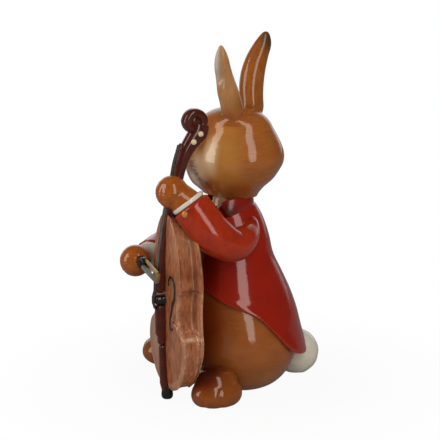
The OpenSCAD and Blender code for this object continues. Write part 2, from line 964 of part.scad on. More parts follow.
module scroll() {
    half = scroll_width / 2;
    groove = scroll_r * 0.16;
    color(dark_wood)
        translate(scroll_centre)
            rotate([0, 90, 0])
                difference() {
                    cylinder(r = scroll_r - lay_clearance / 4, h = scroll_width, center = true);
                    for (side = [-1, 1])
                        translate([0, 0, side * half])
                            difference() {
                                cylinder(r = scroll_r * 0.68, h = 2 * groove, center = true);
                                cylinder(r = scroll_r * 0.36, h = 3 * groove, center = true);
                            }
                }
}

module tuning_pegs() {
    color(cream)
        free_form()
            difference() {
                for (p = peg_shares, side = [-1, 1])
                    translate([
                        bass_side + side * fingerboard_width * 0.86,
                        board_front_y + neck_setback * p[1],
                        bass_top + neck_length * p[0]
                    ])
                        sphere(r = peg_r, $fn = 2 * around_small);
                bass_neck_form();
                scroll_blank();
            }
}

module strings_form() {
    steps = 12;
    crest = plate_top_y - bridge_height - string_lift;
    low = bridge_z - bridge_thickness;
    line = concat(
        [[board_front_y - string_lift, low], [crest, bridge_z - bridge_thickness / 3], [crest, bridge_z + bridge_thickness / 3]],
        [for (i = [0:steps]) let(z = board_start + board_length * (i + 0.2) / (steps + 0.2)) [board_y(z) - string_lift, z]]
    );
    for (k = [-1.5:1:1.5]) {
        path = [for (p = line) [bass_side + string_spacing * k, p[0], p[1]]];
        loft([
            for (i = [0:len(path) - 1])
                let(w = heading(path, i), v = cross(w, [1, 0, 0]))
                ring(path[i], [1, 0, 0], v, string_r, string_r, around_small)
        ]);
    }
}

module strings() {
    color(steel)
        strings_form();
}

// Bridge with a rounded crest, standing on the front of the bass
module bridge() {
    half = bridge_width / 2;
    shoulder = bridge_height * 0.7;
    color(black)
        translate([bass_side, plate_top_y, bridge_z - bridge_thickness / 2])
            linear_extrude(height = bridge_thickness)
                polygon(concat(
                    [[-half, 0], [-half * 0.8, -shoulder]],
                    [for (t = [170:-20:10]) [half * 0.8 * cos(t), -shoulder - (bridge_height - shoulder) * sin(t)]],
                    [[half * 0.8, -shoulder], [half, 0]]
                ));
}

module tailpiece() {
    top = bridge_z - bridge_thickness - 2 * string_r;
    bottom = bass_base + bass_length * 0.26;
    color(dark_wood)
        free_form()
            difference() {
                loft([
                    bar_ring(bottom, plate_top_y - fingerboard_height * 0.6, bass_front_y, fingerboard_width * 0.36),
                    bar_ring(bottom + string_spacing, plate_top_y - fingerboard_height * 0.8, bass_front_y, fingerboard_width * 0.42),
                    bar_ring(top - string_spacing, board_front_y, bass_front_y, fingerboard_width * 0.56),
                    bar_ring(top, board_front_y + string_spacing / 2, bass_front_y, fingerboard_width * 0.56)
                ]);
                bass_body_form();
            }
}

// Ridge from the tailpiece over the bass's lower edge
module tail_gut() {
    top = bass_base + bass_length * 0.26 - lay_clearance / 2;
    bottom = bass_base + arch_rise / 2;
    color(dark_wood)
        free_form()
            difference() {
                loft([
                    bar_ring(bottom, bass_front_y - fingerboard_height * 0.5, bass_front_y + arch_rise / 2, fingerboard_width * 0.36),
                    bar_ring(bottom + arch_rise * 2, bass_front_y - fingerboard_height * 0.85, bass_front_y + arch_rise / 2, fingerboard_width * 0.36),
                    bar_ring(top, plate_top_y - fingerboard_height * 0.7, bass_front_y + arch_rise / 2, fingerboard_width * 0.36)
                ]);
                bass_body_form();
            }
}

module end_pin() {
    color(black)
        translate([bass_side, bass_front_y, 0])
            rotate_extrude()
                polygon([
                    [0, 0],
                    [end_pin_r * 0.55, 0],
                    [end_pin_r * 0.9, end_pin_length * 0.16],
                    [end_pin_r, end_pin_length * 0.45],
                    [end_pin_r * 0.85, end_pin_length - lay_clearance / 2],
                    [0, end_pin_length - lay_clearance / 2]
                ]);
}

// Bow

// Places a child in the bow's frame: +X towards the tip, with the hair on the X axis
module bow_place() {
    translate([bass_side, bow_y, bow_z])
        rotate([0, bow_pitch, -3])
            children();
}

module bow_frog_form(grow) {
    bow_place()
        translate([frog_x, -stick_r, -hair_gap / 2])
            cube([frog_size + 2 * grow, frog_size * 0.8 + 2 * grow, frog_size + 2 * grow], center = true);
}

module bow_frog() {
    color(black)
        bow_frog_form(0);
}

module bow_stick() {
    start = frog_x + frog_size / 2;
    color(steel)
        bow_place()
            translate([start, -stick_r, -hair_gap])
                rotate([0, 90, 0])
                    cylinder(r1 = stick_r, r2 = stick_r * 0.8, h = bow_reach - start);
}

module bow_hair() {
    start = frog_x + frog_size / 2;
    color(cream)
        bow_place()
            translate([start, -hair_width / 4, -hair_width / 2])
                cube([bow_reach - start, hair_width / 4, hair_width]);
}

module bow_tip() {
    color(gold)
        bow_place()
            translate([bow_reach, -stick_r * 1.8, -hair_gap - stick_r])
                cube([stick_r * 1.6, stick_r * 1.8, hair_gap + stick_r + hair_width / 2]);
}

body();
coat();
collar();
tail();
left_foot();
right_foot();
head();
left_ear();
right_ear();
eyes();
nose();
left_sleeve();
right_sleeve();
left_cuff();
right_cuff();
cuff_buttons();
left_paw();
right_paw();
bass_body();
f_holes();
bass_neck();
scroll();
tuning_pegs();
fingerboard();
strings();
bridge();
tailpiece();
tail_gut();
end_pin();
bow_stick();
bow_hair();
bow_frog();
bow_tip();
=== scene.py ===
"""Glazed ceramic rabbit figurine with a double bass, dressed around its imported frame.

Every size is in millimetres in the part's own frame: origin under the body, +Z up, the body facing -Y and
its left side towards +X. A mesh gets metres when it is made.
"""

import logging
from collections.abc import Sequence
from dataclasses import dataclass, field
from enum import Enum, IntEnum
from typing import ClassVar

import bpy
import numpy as np
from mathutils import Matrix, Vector

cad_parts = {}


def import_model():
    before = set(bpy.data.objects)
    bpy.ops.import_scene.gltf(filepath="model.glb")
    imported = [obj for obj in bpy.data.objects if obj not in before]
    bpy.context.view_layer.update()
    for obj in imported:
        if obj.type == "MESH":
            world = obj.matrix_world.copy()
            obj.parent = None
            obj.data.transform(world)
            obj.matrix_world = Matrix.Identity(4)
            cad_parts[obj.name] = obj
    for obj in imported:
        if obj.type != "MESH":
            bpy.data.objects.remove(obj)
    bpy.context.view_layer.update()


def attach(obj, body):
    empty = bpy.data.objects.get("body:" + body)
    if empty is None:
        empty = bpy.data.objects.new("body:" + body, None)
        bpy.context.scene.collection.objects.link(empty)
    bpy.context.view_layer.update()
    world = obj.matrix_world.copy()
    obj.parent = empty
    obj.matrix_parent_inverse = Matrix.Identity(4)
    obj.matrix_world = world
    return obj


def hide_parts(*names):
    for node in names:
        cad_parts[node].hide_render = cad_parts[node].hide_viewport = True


LOG = logging.getLogger("rabbit_figurine")
MM = 0.001
FULL_TURN = 2 * np.pi
TINY = 1e-9
# How far one round of smoothing moves a point towards its neighbours' middle.
SOFTENING = 0.5
# Sockets of a Mix node that share their names: the two that it mixes, as numbers and as colours.
MIX_NUMBERS = (2, 3)
MIX_COLOURS = (6, 7)
MIXED_COLOUR = 2
# Directions that swept rings keep their x near.
ALONG_X = (1, 0, 0)
ALONG_Y = (0, 1, 0)
ARM_SIDE = (0.3, 0.1, 1.0)

Point = tuple[float, float, float]
Rows = tuple[tuple[float, ...], ...]
Tree = bpy.types.NodeTree
Socket = bpy.types.NodeSocket


class Cap(Enum):
    """How the two ends of a swept surface are closed."""

    POINT = "a fan to the middle of the end ring"
    LADDER = "rungs between the two halves of a thin end ring"


class Side(IntEnum):
    """The figurine's left and right, as the sign of X there."""

    LEFT = 1
    RIGHT = -1

    @property
    def label(self) -> str:
        """The word that the names of that side's pieces begin with."""
        return self.name.lower()


def row_curve(rows: Sequence, t: np.ndarray) -> np.ndarray:
    """Smooth curve through equally spaced rows: the cubic through two rows whose slopes are half the
    difference of each row's neighbours.

    Args:
        rows: the rows, one value or one vector each.
        t: places from 0, the first row, to 1, the last.

    Returns:
        The values, with the shape of t and then that of a row.
    """
    table = np.asarray(rows, float)
    flat = table.reshape(len(table), -1)
    last = len(table) - 1
    s = np.clip(np.asarray(t, float), 0, 1) * last
    i = np.minimum(s.astype(int), last - 1)
    f = (s - i)[..., None]
    a, b = flat[np.maximum(i - 1, 0)], flat[i]
    c, d = flat[i + 1], flat[np.minimum(i + 2, last)]
    slope = f * (c - a) / 2
    value = b + slope + f**2 * (a - 2.5 * b + 2 * c - d / 2) + f**3 * (1.5 * (b - c) + (d - a) / 2)
    return value.reshape(s.shape + table.shape[1:])


def line_value(rows: Sequence, s: np.ndarray) -> np.ndarray:
    """Values on the straight lines between rows of (share, value)."""
    table = np.asarray(rows, float)
    return np.interp(s, table[:, 0], table[:, 1])


def rounded(t: np.ndarray) -> np.ndarray:
    """Rise from 0 to 1 along a quarter circle, as t goes from 0 to 1."""
    return np.sqrt(np.maximum(0, 1 - (1 - np.clip(t, 0, 1)) ** 2))


def smooth(t: np.ndarray) -> np.ndarray:
    """Rise from 0 to 1 that is level at both ends: three times the square less twice the cube."""
    t = np.clip(t, 0, 1)
    return t**2 * (3 - 2 * t)


def ramp(value: np.ndarray, limits: tuple[float, float]) -> np.ndarray:
    """Share of the way from the first limit to the second, held between 0 and 1."""
    start, full = limits
    return np.clip((value - start) / (full - start), 0, 1)


def hump(distance: np.ndarray, width: float) -> np.ndarray:
    """Bell curve: 1 in the middle, falling off over the given width."""
    return np.exp(-((distance / width) ** 2))


def averaged(values: np.ndarray, reach: int) -> np.ndarray:
    """Each value's mean with that many neighbours on both of its sides."""
    window = 2 * reach + 1
    return np.convolve(np.pad(values, reach, mode="edge"), np.ones(window) / window, mode="valid")


def unit(v: np.ndarray) -> np.ndarray:
    """Vectors of length 1 along the last axis."""
    return v / np.maximum(np.linalg.norm(v, axis=-1, keepdims=True), TINY)


def points(x: np.ndarray | float, y: np.ndarray | float, z: np.ndarray | float) -> np.ndarray:
    """Points from three coordinates, each one number or an array."""
    return np.stack(np.broadcast_arrays(x, y, z), -1).astype(float)


def turned(places: np.ndarray, degrees: float) -> np.ndarray:
    """Points turned about the vertical axis."""
    c, s = np.cos(np.radians(degrees)), np.sin(np.radians(degrees))
    return places @ np.array([[c, s, 0], [-s, c, 0], [0, 0, 1]])


def ring_angles(count: int) -> np.ndarray:
    """Angles at equal steps round a ring, in radians."""
    return FULL_TURN * np.arange(count) / count


def sweep(path: np.ndarray, half_width: np.ndarray | float, half_depth: np.ndarray | float, side: Point,
          around: int = 48, power: float = 2.0) -> np.ndarray:
    """Rings carried along a path. Each ring is the superellipse |x/w|^p + |y/d|^p = 1 in the plane across the
    path, whose x runs as near as it can to the side direction.

    Args:
        path: points of the middle line.
        half_width: half of the ring along the side direction, at each point.
        half_depth: half of the ring across it, at each point.
        side: direction of the ring's x.
        around: points of a ring.
        power: 2 is an ellipse, and more is nearer to a rectangle.

    Returns:
        A grid of points, one row for each ring.
    """
    heading = unit(np.gradient(path, axis=0))
    level = np.asarray(side, float)
    x = unit(level - heading * (heading @ level)[:, None])
    y = np.cross(heading, x)
    t = ring_angles(around)
    c, s = np.cos(t), np.sin(t)
    shape_c = np.sign(c) * np.abs(c) ** (2 / power)
    shape_s = np.sign(s) * np.abs(s) ** (2 / power)
    w = np.broadcast_to(half_width, len(path))[:, None, None]
    d = np.broadcast_to(half_depth, len(path))[:, None, None]
    return path[:, None] + x[:, None] * shape_c[None, :, None] * w + y[:, None] * shape_s[None, :, None] * d


def directions(rows: int, around: int) -> np.ndarray:
    """Directions over a sphere, as rings from its lowest to its highest point.

    Args:
        rows: number of rings between the poles.
        around: points of a ring.

    Returns:
        The grid of directions: cosines of the height's angle times the ring's, and its sine upwards.
    """
    v = np.linspace(-np.pi / 2, np.pi / 2, rows + 2)[1:-1, None]
    t = ring_angles(around)[None]
    return points(np.cos(v) * np.cos(t), np.cos(v) * np.sin(t), np.sin(v))


def ball(centre: Point, radii: Point, rows: int, around: int) -> np.ndarray:
    """Ellipsoid as a grid: its middle plus its radii times each direction over a sphere."""
    return np.asarray(centre) + directions(rows, around) * np.asarray(radii)


def rounded_ends(count: int, share: float, least: float) -> np.ndarray:
    """Factors that round off both ends of a sweep over a share of its length, down to the least of them."""
    s = np.linspace(0, 1, count)
    return np.maximum(rounded(np.minimum(s, 1 - s) / share), least)


def grid_faces(rows: int, around: int, cap: Cap) -> tuple[np.ndarray, np.ndarray]:
    """Faces of a grid that is closed round its rings.

    Args:
        rows: number of rings.
        around: points of a ring.
        cap: how the end rings are closed.

    Returns:
        The four-sided faces and the triangles, as indices. Two points follow those of the grid for the fans.
    """
    i, j = np.meshgrid(np.arange(rows - 1), np.arange(around), indexing="ij")
    k = (j + 1) % around
    corners = [i * around + j, i * around + k, (i + 1) * around + k, (i + 1) * around + j]
    quads = np.stack(corners, -1).reshape(-1, 4)
    ring = np.arange(around)
    after = (ring + 1) % around
    last = (rows - 1) * around
    if cap is Cap.POINT:
        low = np.stack([np.full(around, rows * around), after, ring], -1)
        high = np.stack([np.full(around, rows * around + 1), last + ring, last + after], -1)
        return quads, np.concatenate([low, high])
    a = np.arange(around // 2 - 1)
    b = around - 1 - a
    rungs = np.stack([a, b, b - 1, a + 1], -1)
    return np.concatenate([quads, rungs, last + rungs[:, ::-1]]), np.zeros((0, 3), int)


def volume(places: np.ndarray, quads: np.ndarray, triangles: np.ndarray) -> float:
    """Signed volume inside closed faces: a sixth of the sum of each triangle's triple product.

    Args:
        places: the points.
        quads: the four-sided faces, as indices.
        triangles: the three-sided faces, as indices.

    Returns:
        The volume, which is above zero when the faces point outwards.
    """
    corners = np.concatenate([quads[:, [0, 1, 2]], quads[:, [0, 2, 3]], triangles])
    a, b, c = places[corners[:, 0]], places[corners[:, 1]], places[corners[:, 2]]
    return float((a * np.cross(b, c)).sum() / 6)


@dataclass
class Shell:
    """One closed surface: a grid of rings with its ends closed, and numbers carried on its points."""

    grid: np.ndarray
    cap: Cap = Cap.POINT
    carried: dict[str, np.ndarray] = field(default_factory=dict)

    def parts(self) -> tuple[np.ndarray, np.ndarray, np.ndarray]:
        """What a mesh is made of.

        Returns:
            The points, the four-sided faces and the triangles, facing outwards.
        """
        rows, around = self.grid.shape[:2]
        places = self.grid.reshape(-1, 3)
        if self.cap is Cap.POINT:
            places = np.concatenate([places, self.grid[:1].mean(1), self.grid[-1:].mean(1)])
        quads, triangles = grid_faces(rows, around, self.cap)
        if volume(places, quads, triangles) < 0:
            quads, triangles = quads[:, ::-1], triangles[:, ::-1]
        return places, quads, triangles

    def numbers(self, name: str, count: int) -> np.ndarray:
        """The numbers that the points carry.

        Args:
            name: what they say.
            count: how many points the surface has, with those of its fans.

        Returns:
            One number for each point, and zeros if the surface carries none of that name.
        """
        values = np.zeros(count)
        if name in self.carried:
            flat = np.broadcast_to(self.carried[name], self.grid.shape[:2]).reshape(-1)
            values[: len(flat)] = flat
            values[len(flat):] = flat[-1]
        return values


def carry(mesh: bpy.types.Mesh, name: str, values: np.ndarray) -> None:
    """Stores one number on each point of a mesh, for its glaze to read."""
    mesh.attributes.new(name, "FLOAT", "POINT").data.foreach_set("value", values.astype(np.float32))


def mesh_object(name: str, shells: Sequence[Shell]) -> bpy.types.Object:
    """Makes one object of closed shells, in metres.

    Args:
        name: the object's name.
        shells: its closed surfaces, in millimetres.

    Returns:
        The object, at the origin, with its place in its mesh.
    """
    places, loops, sizes, base = [], [], [], 0
    for shell in shells:
        own, quads, triangles = shell.parts()
        places.append(own)
        loops += [(quads + base).reshape(-1), (triangles + base).reshape(-1)]
        sizes += [np.full(len(quads), 4), np.full(len(triangles), 3)]
        base += len(own)
    co = np.concatenate(places) * MM
    corner = np.concatenate(loops).astype(np.int32)
    size = np.concatenate(sizes).astype(np.int32)
    starts = np.concatenate([[0], np.cumsum(size)[:-1]]).astype(np.int32)
    mesh = bpy.data.meshes.new(name)
    mesh.vertices.add(len(co))
    mesh.vertices.foreach_set("co", co.astype(np.float32).reshape(-1))
    mesh.loops.add(len(corner))
    mesh.loops.foreach_set("vertex_index", corner)
    mesh.polygons.add(len(size))
    mesh.polygons.foreach_set("loop_start", starts)
    mesh.polygons.foreach_set("use_smooth", np.ones(len(size), bool))
    for key in sorted({key for shell in shells for key in shell.carried}):
        carry(mesh, key, np.concatenate([shell.numbers(key, len(own)) for shell, own in zip(shells, places)]))
    mesh.update(calc_edges=True)
    mesh.validate()
    made = bpy.data.objects.new(name, mesh)
    bpy.context.scene.collection.objects.link(made)
    return made


def applied(made: bpy.types.Object) -> bpy.types.Object:
    """Puts the result of an object's modifiers into its mesh.

    Args:
        made: the object.

    Returns:
        The same object, with no modifiers and smooth faces.
    """
    bpy.context.view_layer.update()
    result = bpy.data.meshes.new_from_object(made.evaluated_get(bpy.context.evaluated_depsgraph_get()))
    made.modifiers.clear()
    made.data = result
    result.polygons.foreach_set("use_smooth", np.ones(len(result.polygons), bool))
    return made


def fused(name: str, shells: Sequence[Shell], grain: float, rounds: int) -> bpy.types.Object:
    """Joins overlapping shells into one skin, and softens the valleys between them as slip does.

    Args:
        name: the object's name.
        shells: the overlapping closed surfaces.
        grain: edge of the remeshing cells, in millimetres.
        rounds: how many times the skin is smoothed.

    Returns:
        The object with its modifiers applied.
    """
    made = mesh_object(name, shells)
    remesh = made.modifiers.new("join", "REMESH")
    remesh.mode = "VOXEL"
    remesh.voxel_size = grain * MM
    soften = made.modifiers.new("soften", "SMOOTH")
    soften.factor = SOFTENING
    soften.iterations = rounds
    return applied(made)


def linear(code: str) -> tuple[float, float, float, float]:
    """The linear colour of an sRGB hex code, by the curve of the sRGB standard.

    Args:
        code: the colour, such as "#9c5726".

    Returns:
        Red, green and blue, and 1 for solid.
    """
    value = np.array([int(code[i:i + 2], 16) / 255 for i in (1, 3, 5)])
    flat = np.where(value <= 0.04045, value / 12.92, ((value + 0.055) / 1.055) ** 2.4)
    return (*flat.tolist(), 1.0)


def per_size(sizes: Point) -> Point:
    """Factors that turn metres into numbers of these sizes, which are in millimetres."""
    return tuple(1 / (size * MM) for size in sizes)


def bare_tree(owner: bpy.types.Material | bpy.types.World) -> Tree:
    """The node tree of a material or a world, emptied."""
    owner.use_nodes = True
    owner.node_tree.nodes.clear()
    return owner.node_tree


def add_node(tree: Tree, kind: str, settings: dict | None = None,
             links: dict | None = None) -> bpy.types.Node:
    """Adds a shader node.

    Args:
        tree: the node tree.
        kind: the node's type.
        settings: properties by name, and values of inputs by their index or name.
        links: sockets to link, by the input's index or name.

    Returns:
        The node.
    """
    made = tree.nodes.new(kind)
    for key, value in (settings or {}).items():
        if isinstance(key, str) and hasattr(made, key):
            setattr(made, key, value)
        else:
            made.inputs[key].default_value = value
    for key, socket in (links or {}).items():
        tree.links.new(socket, made.inputs[key])
    return made


@dataclass(frozen=True)
class Spray:
    """Patch of colour laid like airbrushed underglaze, which in some places is painted shade and in others a
    painted highlight: an ellipsoid in space, full in the middle and soft at its rim. A broken one is laid in
    separate strokes."""

    centre: Point
    radii: Point
    colour: str
    strength: float = 1.0
    core: float = 0.0
    broken: float = 0.0


@dataclass(frozen=True)
class Wear:
    """Colour that follows numbers carried on a piece's points, such as rubbed edges, a painted highlight
    along a hem and painted shade along a groove.
    """

    attribute: str
    colour: str
    strength: float
    broken: float = 0.0


@dataclass(frozen=True)
class Glaze:
    """Painted earthenware under a clear gloss glaze: underglaze colours laid with a brush or an airbrush,
    with a glassy coat whose surface waves a little where it ran. Every size of a pattern is in millimetres,
    and a pair of levels is where a noise's marks begin and where they are full."""

    name: str
    colour: str
    sprays: tuple[Spray, ...] = ()
    carried_colours: tuple[Wear, ...] = ()
    streak_colour: str = ""
    streak_strength: float = 0.0
    streak_size: Point = (1.0, 1.0, 6.0)
    streak_levels: tuple[float, float] = (0.38, 0.68)
    stroke_size: Point = (3.5, 3.5, 0.9)
    stroke_levels: tuple[float, float] = (0.4, 0.6)
    spot_size: float = 1.4
    spot_levels: tuple[float, float] = (0.35, 0.65)
    mottle: float = 0.1
    mottle_size: float = 5.0
    mottle_levels: tuple[float, float] = (0.3, 0.7)
    wave: float = 0.05
    wave_size: float = 3.2
    roughness: float = 0.32
    metallic: float = 0.0
    specular_level: float = 0.05
    ior: float = 1.5
    coat_roughness: float = 0.09
    coat_ior: float = 1.52

    def material(self) -> bpy.types.Material:
        """The finish as a material, made once.

        Returns:
            The material: the painted colour below, and a clear coat on rippled normals above.
        """
        found = bpy.data.materials.get(self.name)
        if found:
            return found
        made = bpy.data.materials.new(self.name)
        tree = bare_tree(made)
        place = add_node(tree, "ShaderNodeTexCoord").outputs["Object"]
        colour = self.streaked(tree, place)
        for spray in self.sprays:
            colour = self.sprayed(tree, place, colour, spray)
        for wear in self.carried_colours:
            colour = self.wear_and_painted_light(tree, place, colour, wear)
        colour = self.mottled(tree, place, colour)
        ripple = add_node(tree, "ShaderNodeTexNoise", {"Scale": 1 / (self.wave_size * MM), "Detail": 2.0},
                          {"Vector": place})
        bump = add_node(tree, "ShaderNodeBump", {"Strength": 1.0, "Distance": self.wave * MM},
                        {"Height": ripple.outputs[0]})
        constants = {
            "Metallic": self.metallic,
            "Roughness": self.roughness,
            "Specular IOR Level": self.specular_level,
            "IOR": self.ior,
            "Coat Weight": 1.0,
            "Coat Roughness": self.coat_roughness,
            "Coat IOR": self.coat_ior,
        }
        normal = bump.outputs[0]
        shader = add_node(tree, "ShaderNodeBsdfPrincipled", constants,
                          {"Base Color": colour, "Normal": normal, "Coat Normal": normal})
        add_node(tree, "ShaderNodeOutputMaterial", links={"Surface": shader.outputs[0]})
        return made

    def streaked(self, tree: Tree, place: Socket) -> Socket:
        """The base colour with long brush marks of the second colour, from noise stretched along them.

        Args:
            tree: the material's nodes.
            place: the point's place on the piece.

        Returns:
            The colour.
        """
        base = add_node(tree, "ShaderNodeRGB")
        base.outputs[0].default_value = linear(self.colour)
        if not self.streak_strength:
            return base.outputs[0]
        stretched = add_node(tree, "ShaderNodeVectorMath",
                             {"operation": "MULTIPLY", 1: per_size(self.streak_size)}, {0: place})
        marks = add_node(tree, "ShaderNodeTexNoise", {"Scale": 1.0, "Detail": 4.0, "Roughness": 0.62},
                         {"Vector": stretched.outputs[0]})
        low, high = self.streak_levels
        share = add_node(tree, "ShaderNodeMapRange",
                         {"From Min": low, "From Max": high, "To Max": self.streak_strength},
                         {"Value": marks.outputs[0]})
        return self.mixed(tree, share.outputs[0], base.outputs[0], self.streak_colour)

    @staticmethod
    def mixed(tree: Tree, share: Socket, below: Socket, code: str) -> Socket:
        """The colour below with another laid over it.

        Args:
            tree: the material's nodes.
            share: how much the upper colour covers.
            below: the colour below.
            code: the upper colour.

        Returns:
            The colour.
        """
        lower, upper = MIX_COLOURS
        mix = add_node(tree, "ShaderNodeMix", {"data_type": "RGBA", upper: linear(code)},
                       {0: share, lower: below})
        return mix.outputs[MIXED_COLOUR]

    def sprayed(self, tree: Tree, place: Socket, below: Socket, spray: Spray) -> Socket:
        """The colour below with one patch of colour, which in some places is painted shade and in others a
        painted highlight: its share falls from the core to the ellipsoid's rim, and stretched noise breaks it
        into strokes.

        Args:
            tree: the material's nodes.
            place: the point's place on the piece.
            below: the colour below.
            spray: the patch.

        Returns:
            The colour.
        """
        centre = tuple(c * MM for c in spray.centre)
        away = add_node(tree, "ShaderNodeVectorMath", {"operation": "SUBTRACT", 1: centre}, {0: place})
        scaled = add_node(tree, "ShaderNodeVectorMath", {"operation": "MULTIPLY", 1: per_size(spray.radii)},
                          {0: away.outputs[0]})
        distance = add_node(tree, "ShaderNodeVectorMath", {"operation": "LENGTH"}, {0: scaled.outputs[0]})
        fall = {"interpolation_type": "SMOOTHSTEP", "From Min": spray.core, "To Min": spray.strength,
                "To Max": 0.0}
        share = add_node(tree, "ShaderNodeMapRange", fall, {"Value": distance.outputs["Value"]})
        if not spray.broken:
            return self.mixed(tree, share.outputs[0], below, spray.colour)
        stretched = add_node(tree, "ShaderNodeVectorMath",
                             {"operation": "MULTIPLY", 1: per_size(self.stroke_size)}, {0: place})
        strokes = add_node(tree, "ShaderNodeTexNoise", {"Scale": 1.0, "Detail": 3.0},
                           {"Vector": stretched.outputs[0]})
        low, high = self.stroke_levels
        gaps = add_node(tree, "ShaderNodeMapRange",
                        {"From Min": low, "From Max": high, "To Min": 1 - spray.broken},
                        {"Value": strokes.outputs[0]})
        left = add_node(tree, "ShaderNodeMath", {"operation": "MULTIPLY"},
                        {0: share.outputs[0], 1: gaps.outputs[0]})
        return self.mixed(tree, left.outputs[0], below, spray.colour)

    def wear_and_painted_light(self, tree: Tree, place: Socket, below: Socket, wear: Wear) -> Socket:
        """The colour below with another where the carried number is high, broken up by spots of noise.

        Args:
            tree: the material's nodes.
            place: the point's place on the piece.
            below: the colour below.
            wear: the marked places and their colour, such as rubbed edges, painted highlights and painted
                shade.

        Returns:
            The colour.
        """
        value = add_node(tree, "ShaderNodeAttribute", {"attribute_name": wear.attribute})
        spots = add_node(tree, "ShaderNodeTexNoise", {"Scale": 1 / (self.spot_size * MM), "Detail": 3.0},
                         {"Vector": place})
        low, high = self.spot_levels
        breaks = add_node(tree, "ShaderNodeMapRange",
                          {"From Min": low, "From Max": high, "To Min": 1 - wear.broken},
                          {"Value": spots.outputs[0]})
        product = add_node(tree, "ShaderNodeMath", {"operation": "MULTIPLY"},
                           {0: value.outputs["Fac"], 1: breaks.outputs[0]})
        share = add_node(tree, "ShaderNodeMath",
                         {"operation": "MULTIPLY", "use_clamp": True, 1: wear.strength},
                         {0: product.outputs[0]})
        return self.mixed(tree, share.outputs[0], below, wear.colour)

    def mottled(self, tree: Tree, place: Socket, below: Socket) -> Socket:
        """The colour below, lighter and darker in soft clouds, as where glaze lies thinner and thicker.

        Args:
            tree: the material's nodes.
            place: the point's place on the piece.
            below: the colour below.

        Returns:
            The colour.
        """
        cloud = add_node(tree, "ShaderNodeTexNoise", {"Scale": 1 / (self.mottle_size * MM), "Detail": 5.0},
                         {"Vector": place})
        low, high = self.mottle_levels
        range_of = {"From Min": low, "From Max": high, "To Min": 1 - self.mottle, "To Max": 1 + self.mottle}
        level = add_node(tree, "ShaderNodeMapRange", range_of, {"Value": cloud.outputs[0]})
        scaled = add_node(tree, "ShaderNodeVectorMath", {"operation": "SCALE"},
                          {0: below, "Scale": level.outputs[0]})
        return scaled.outputs[0]


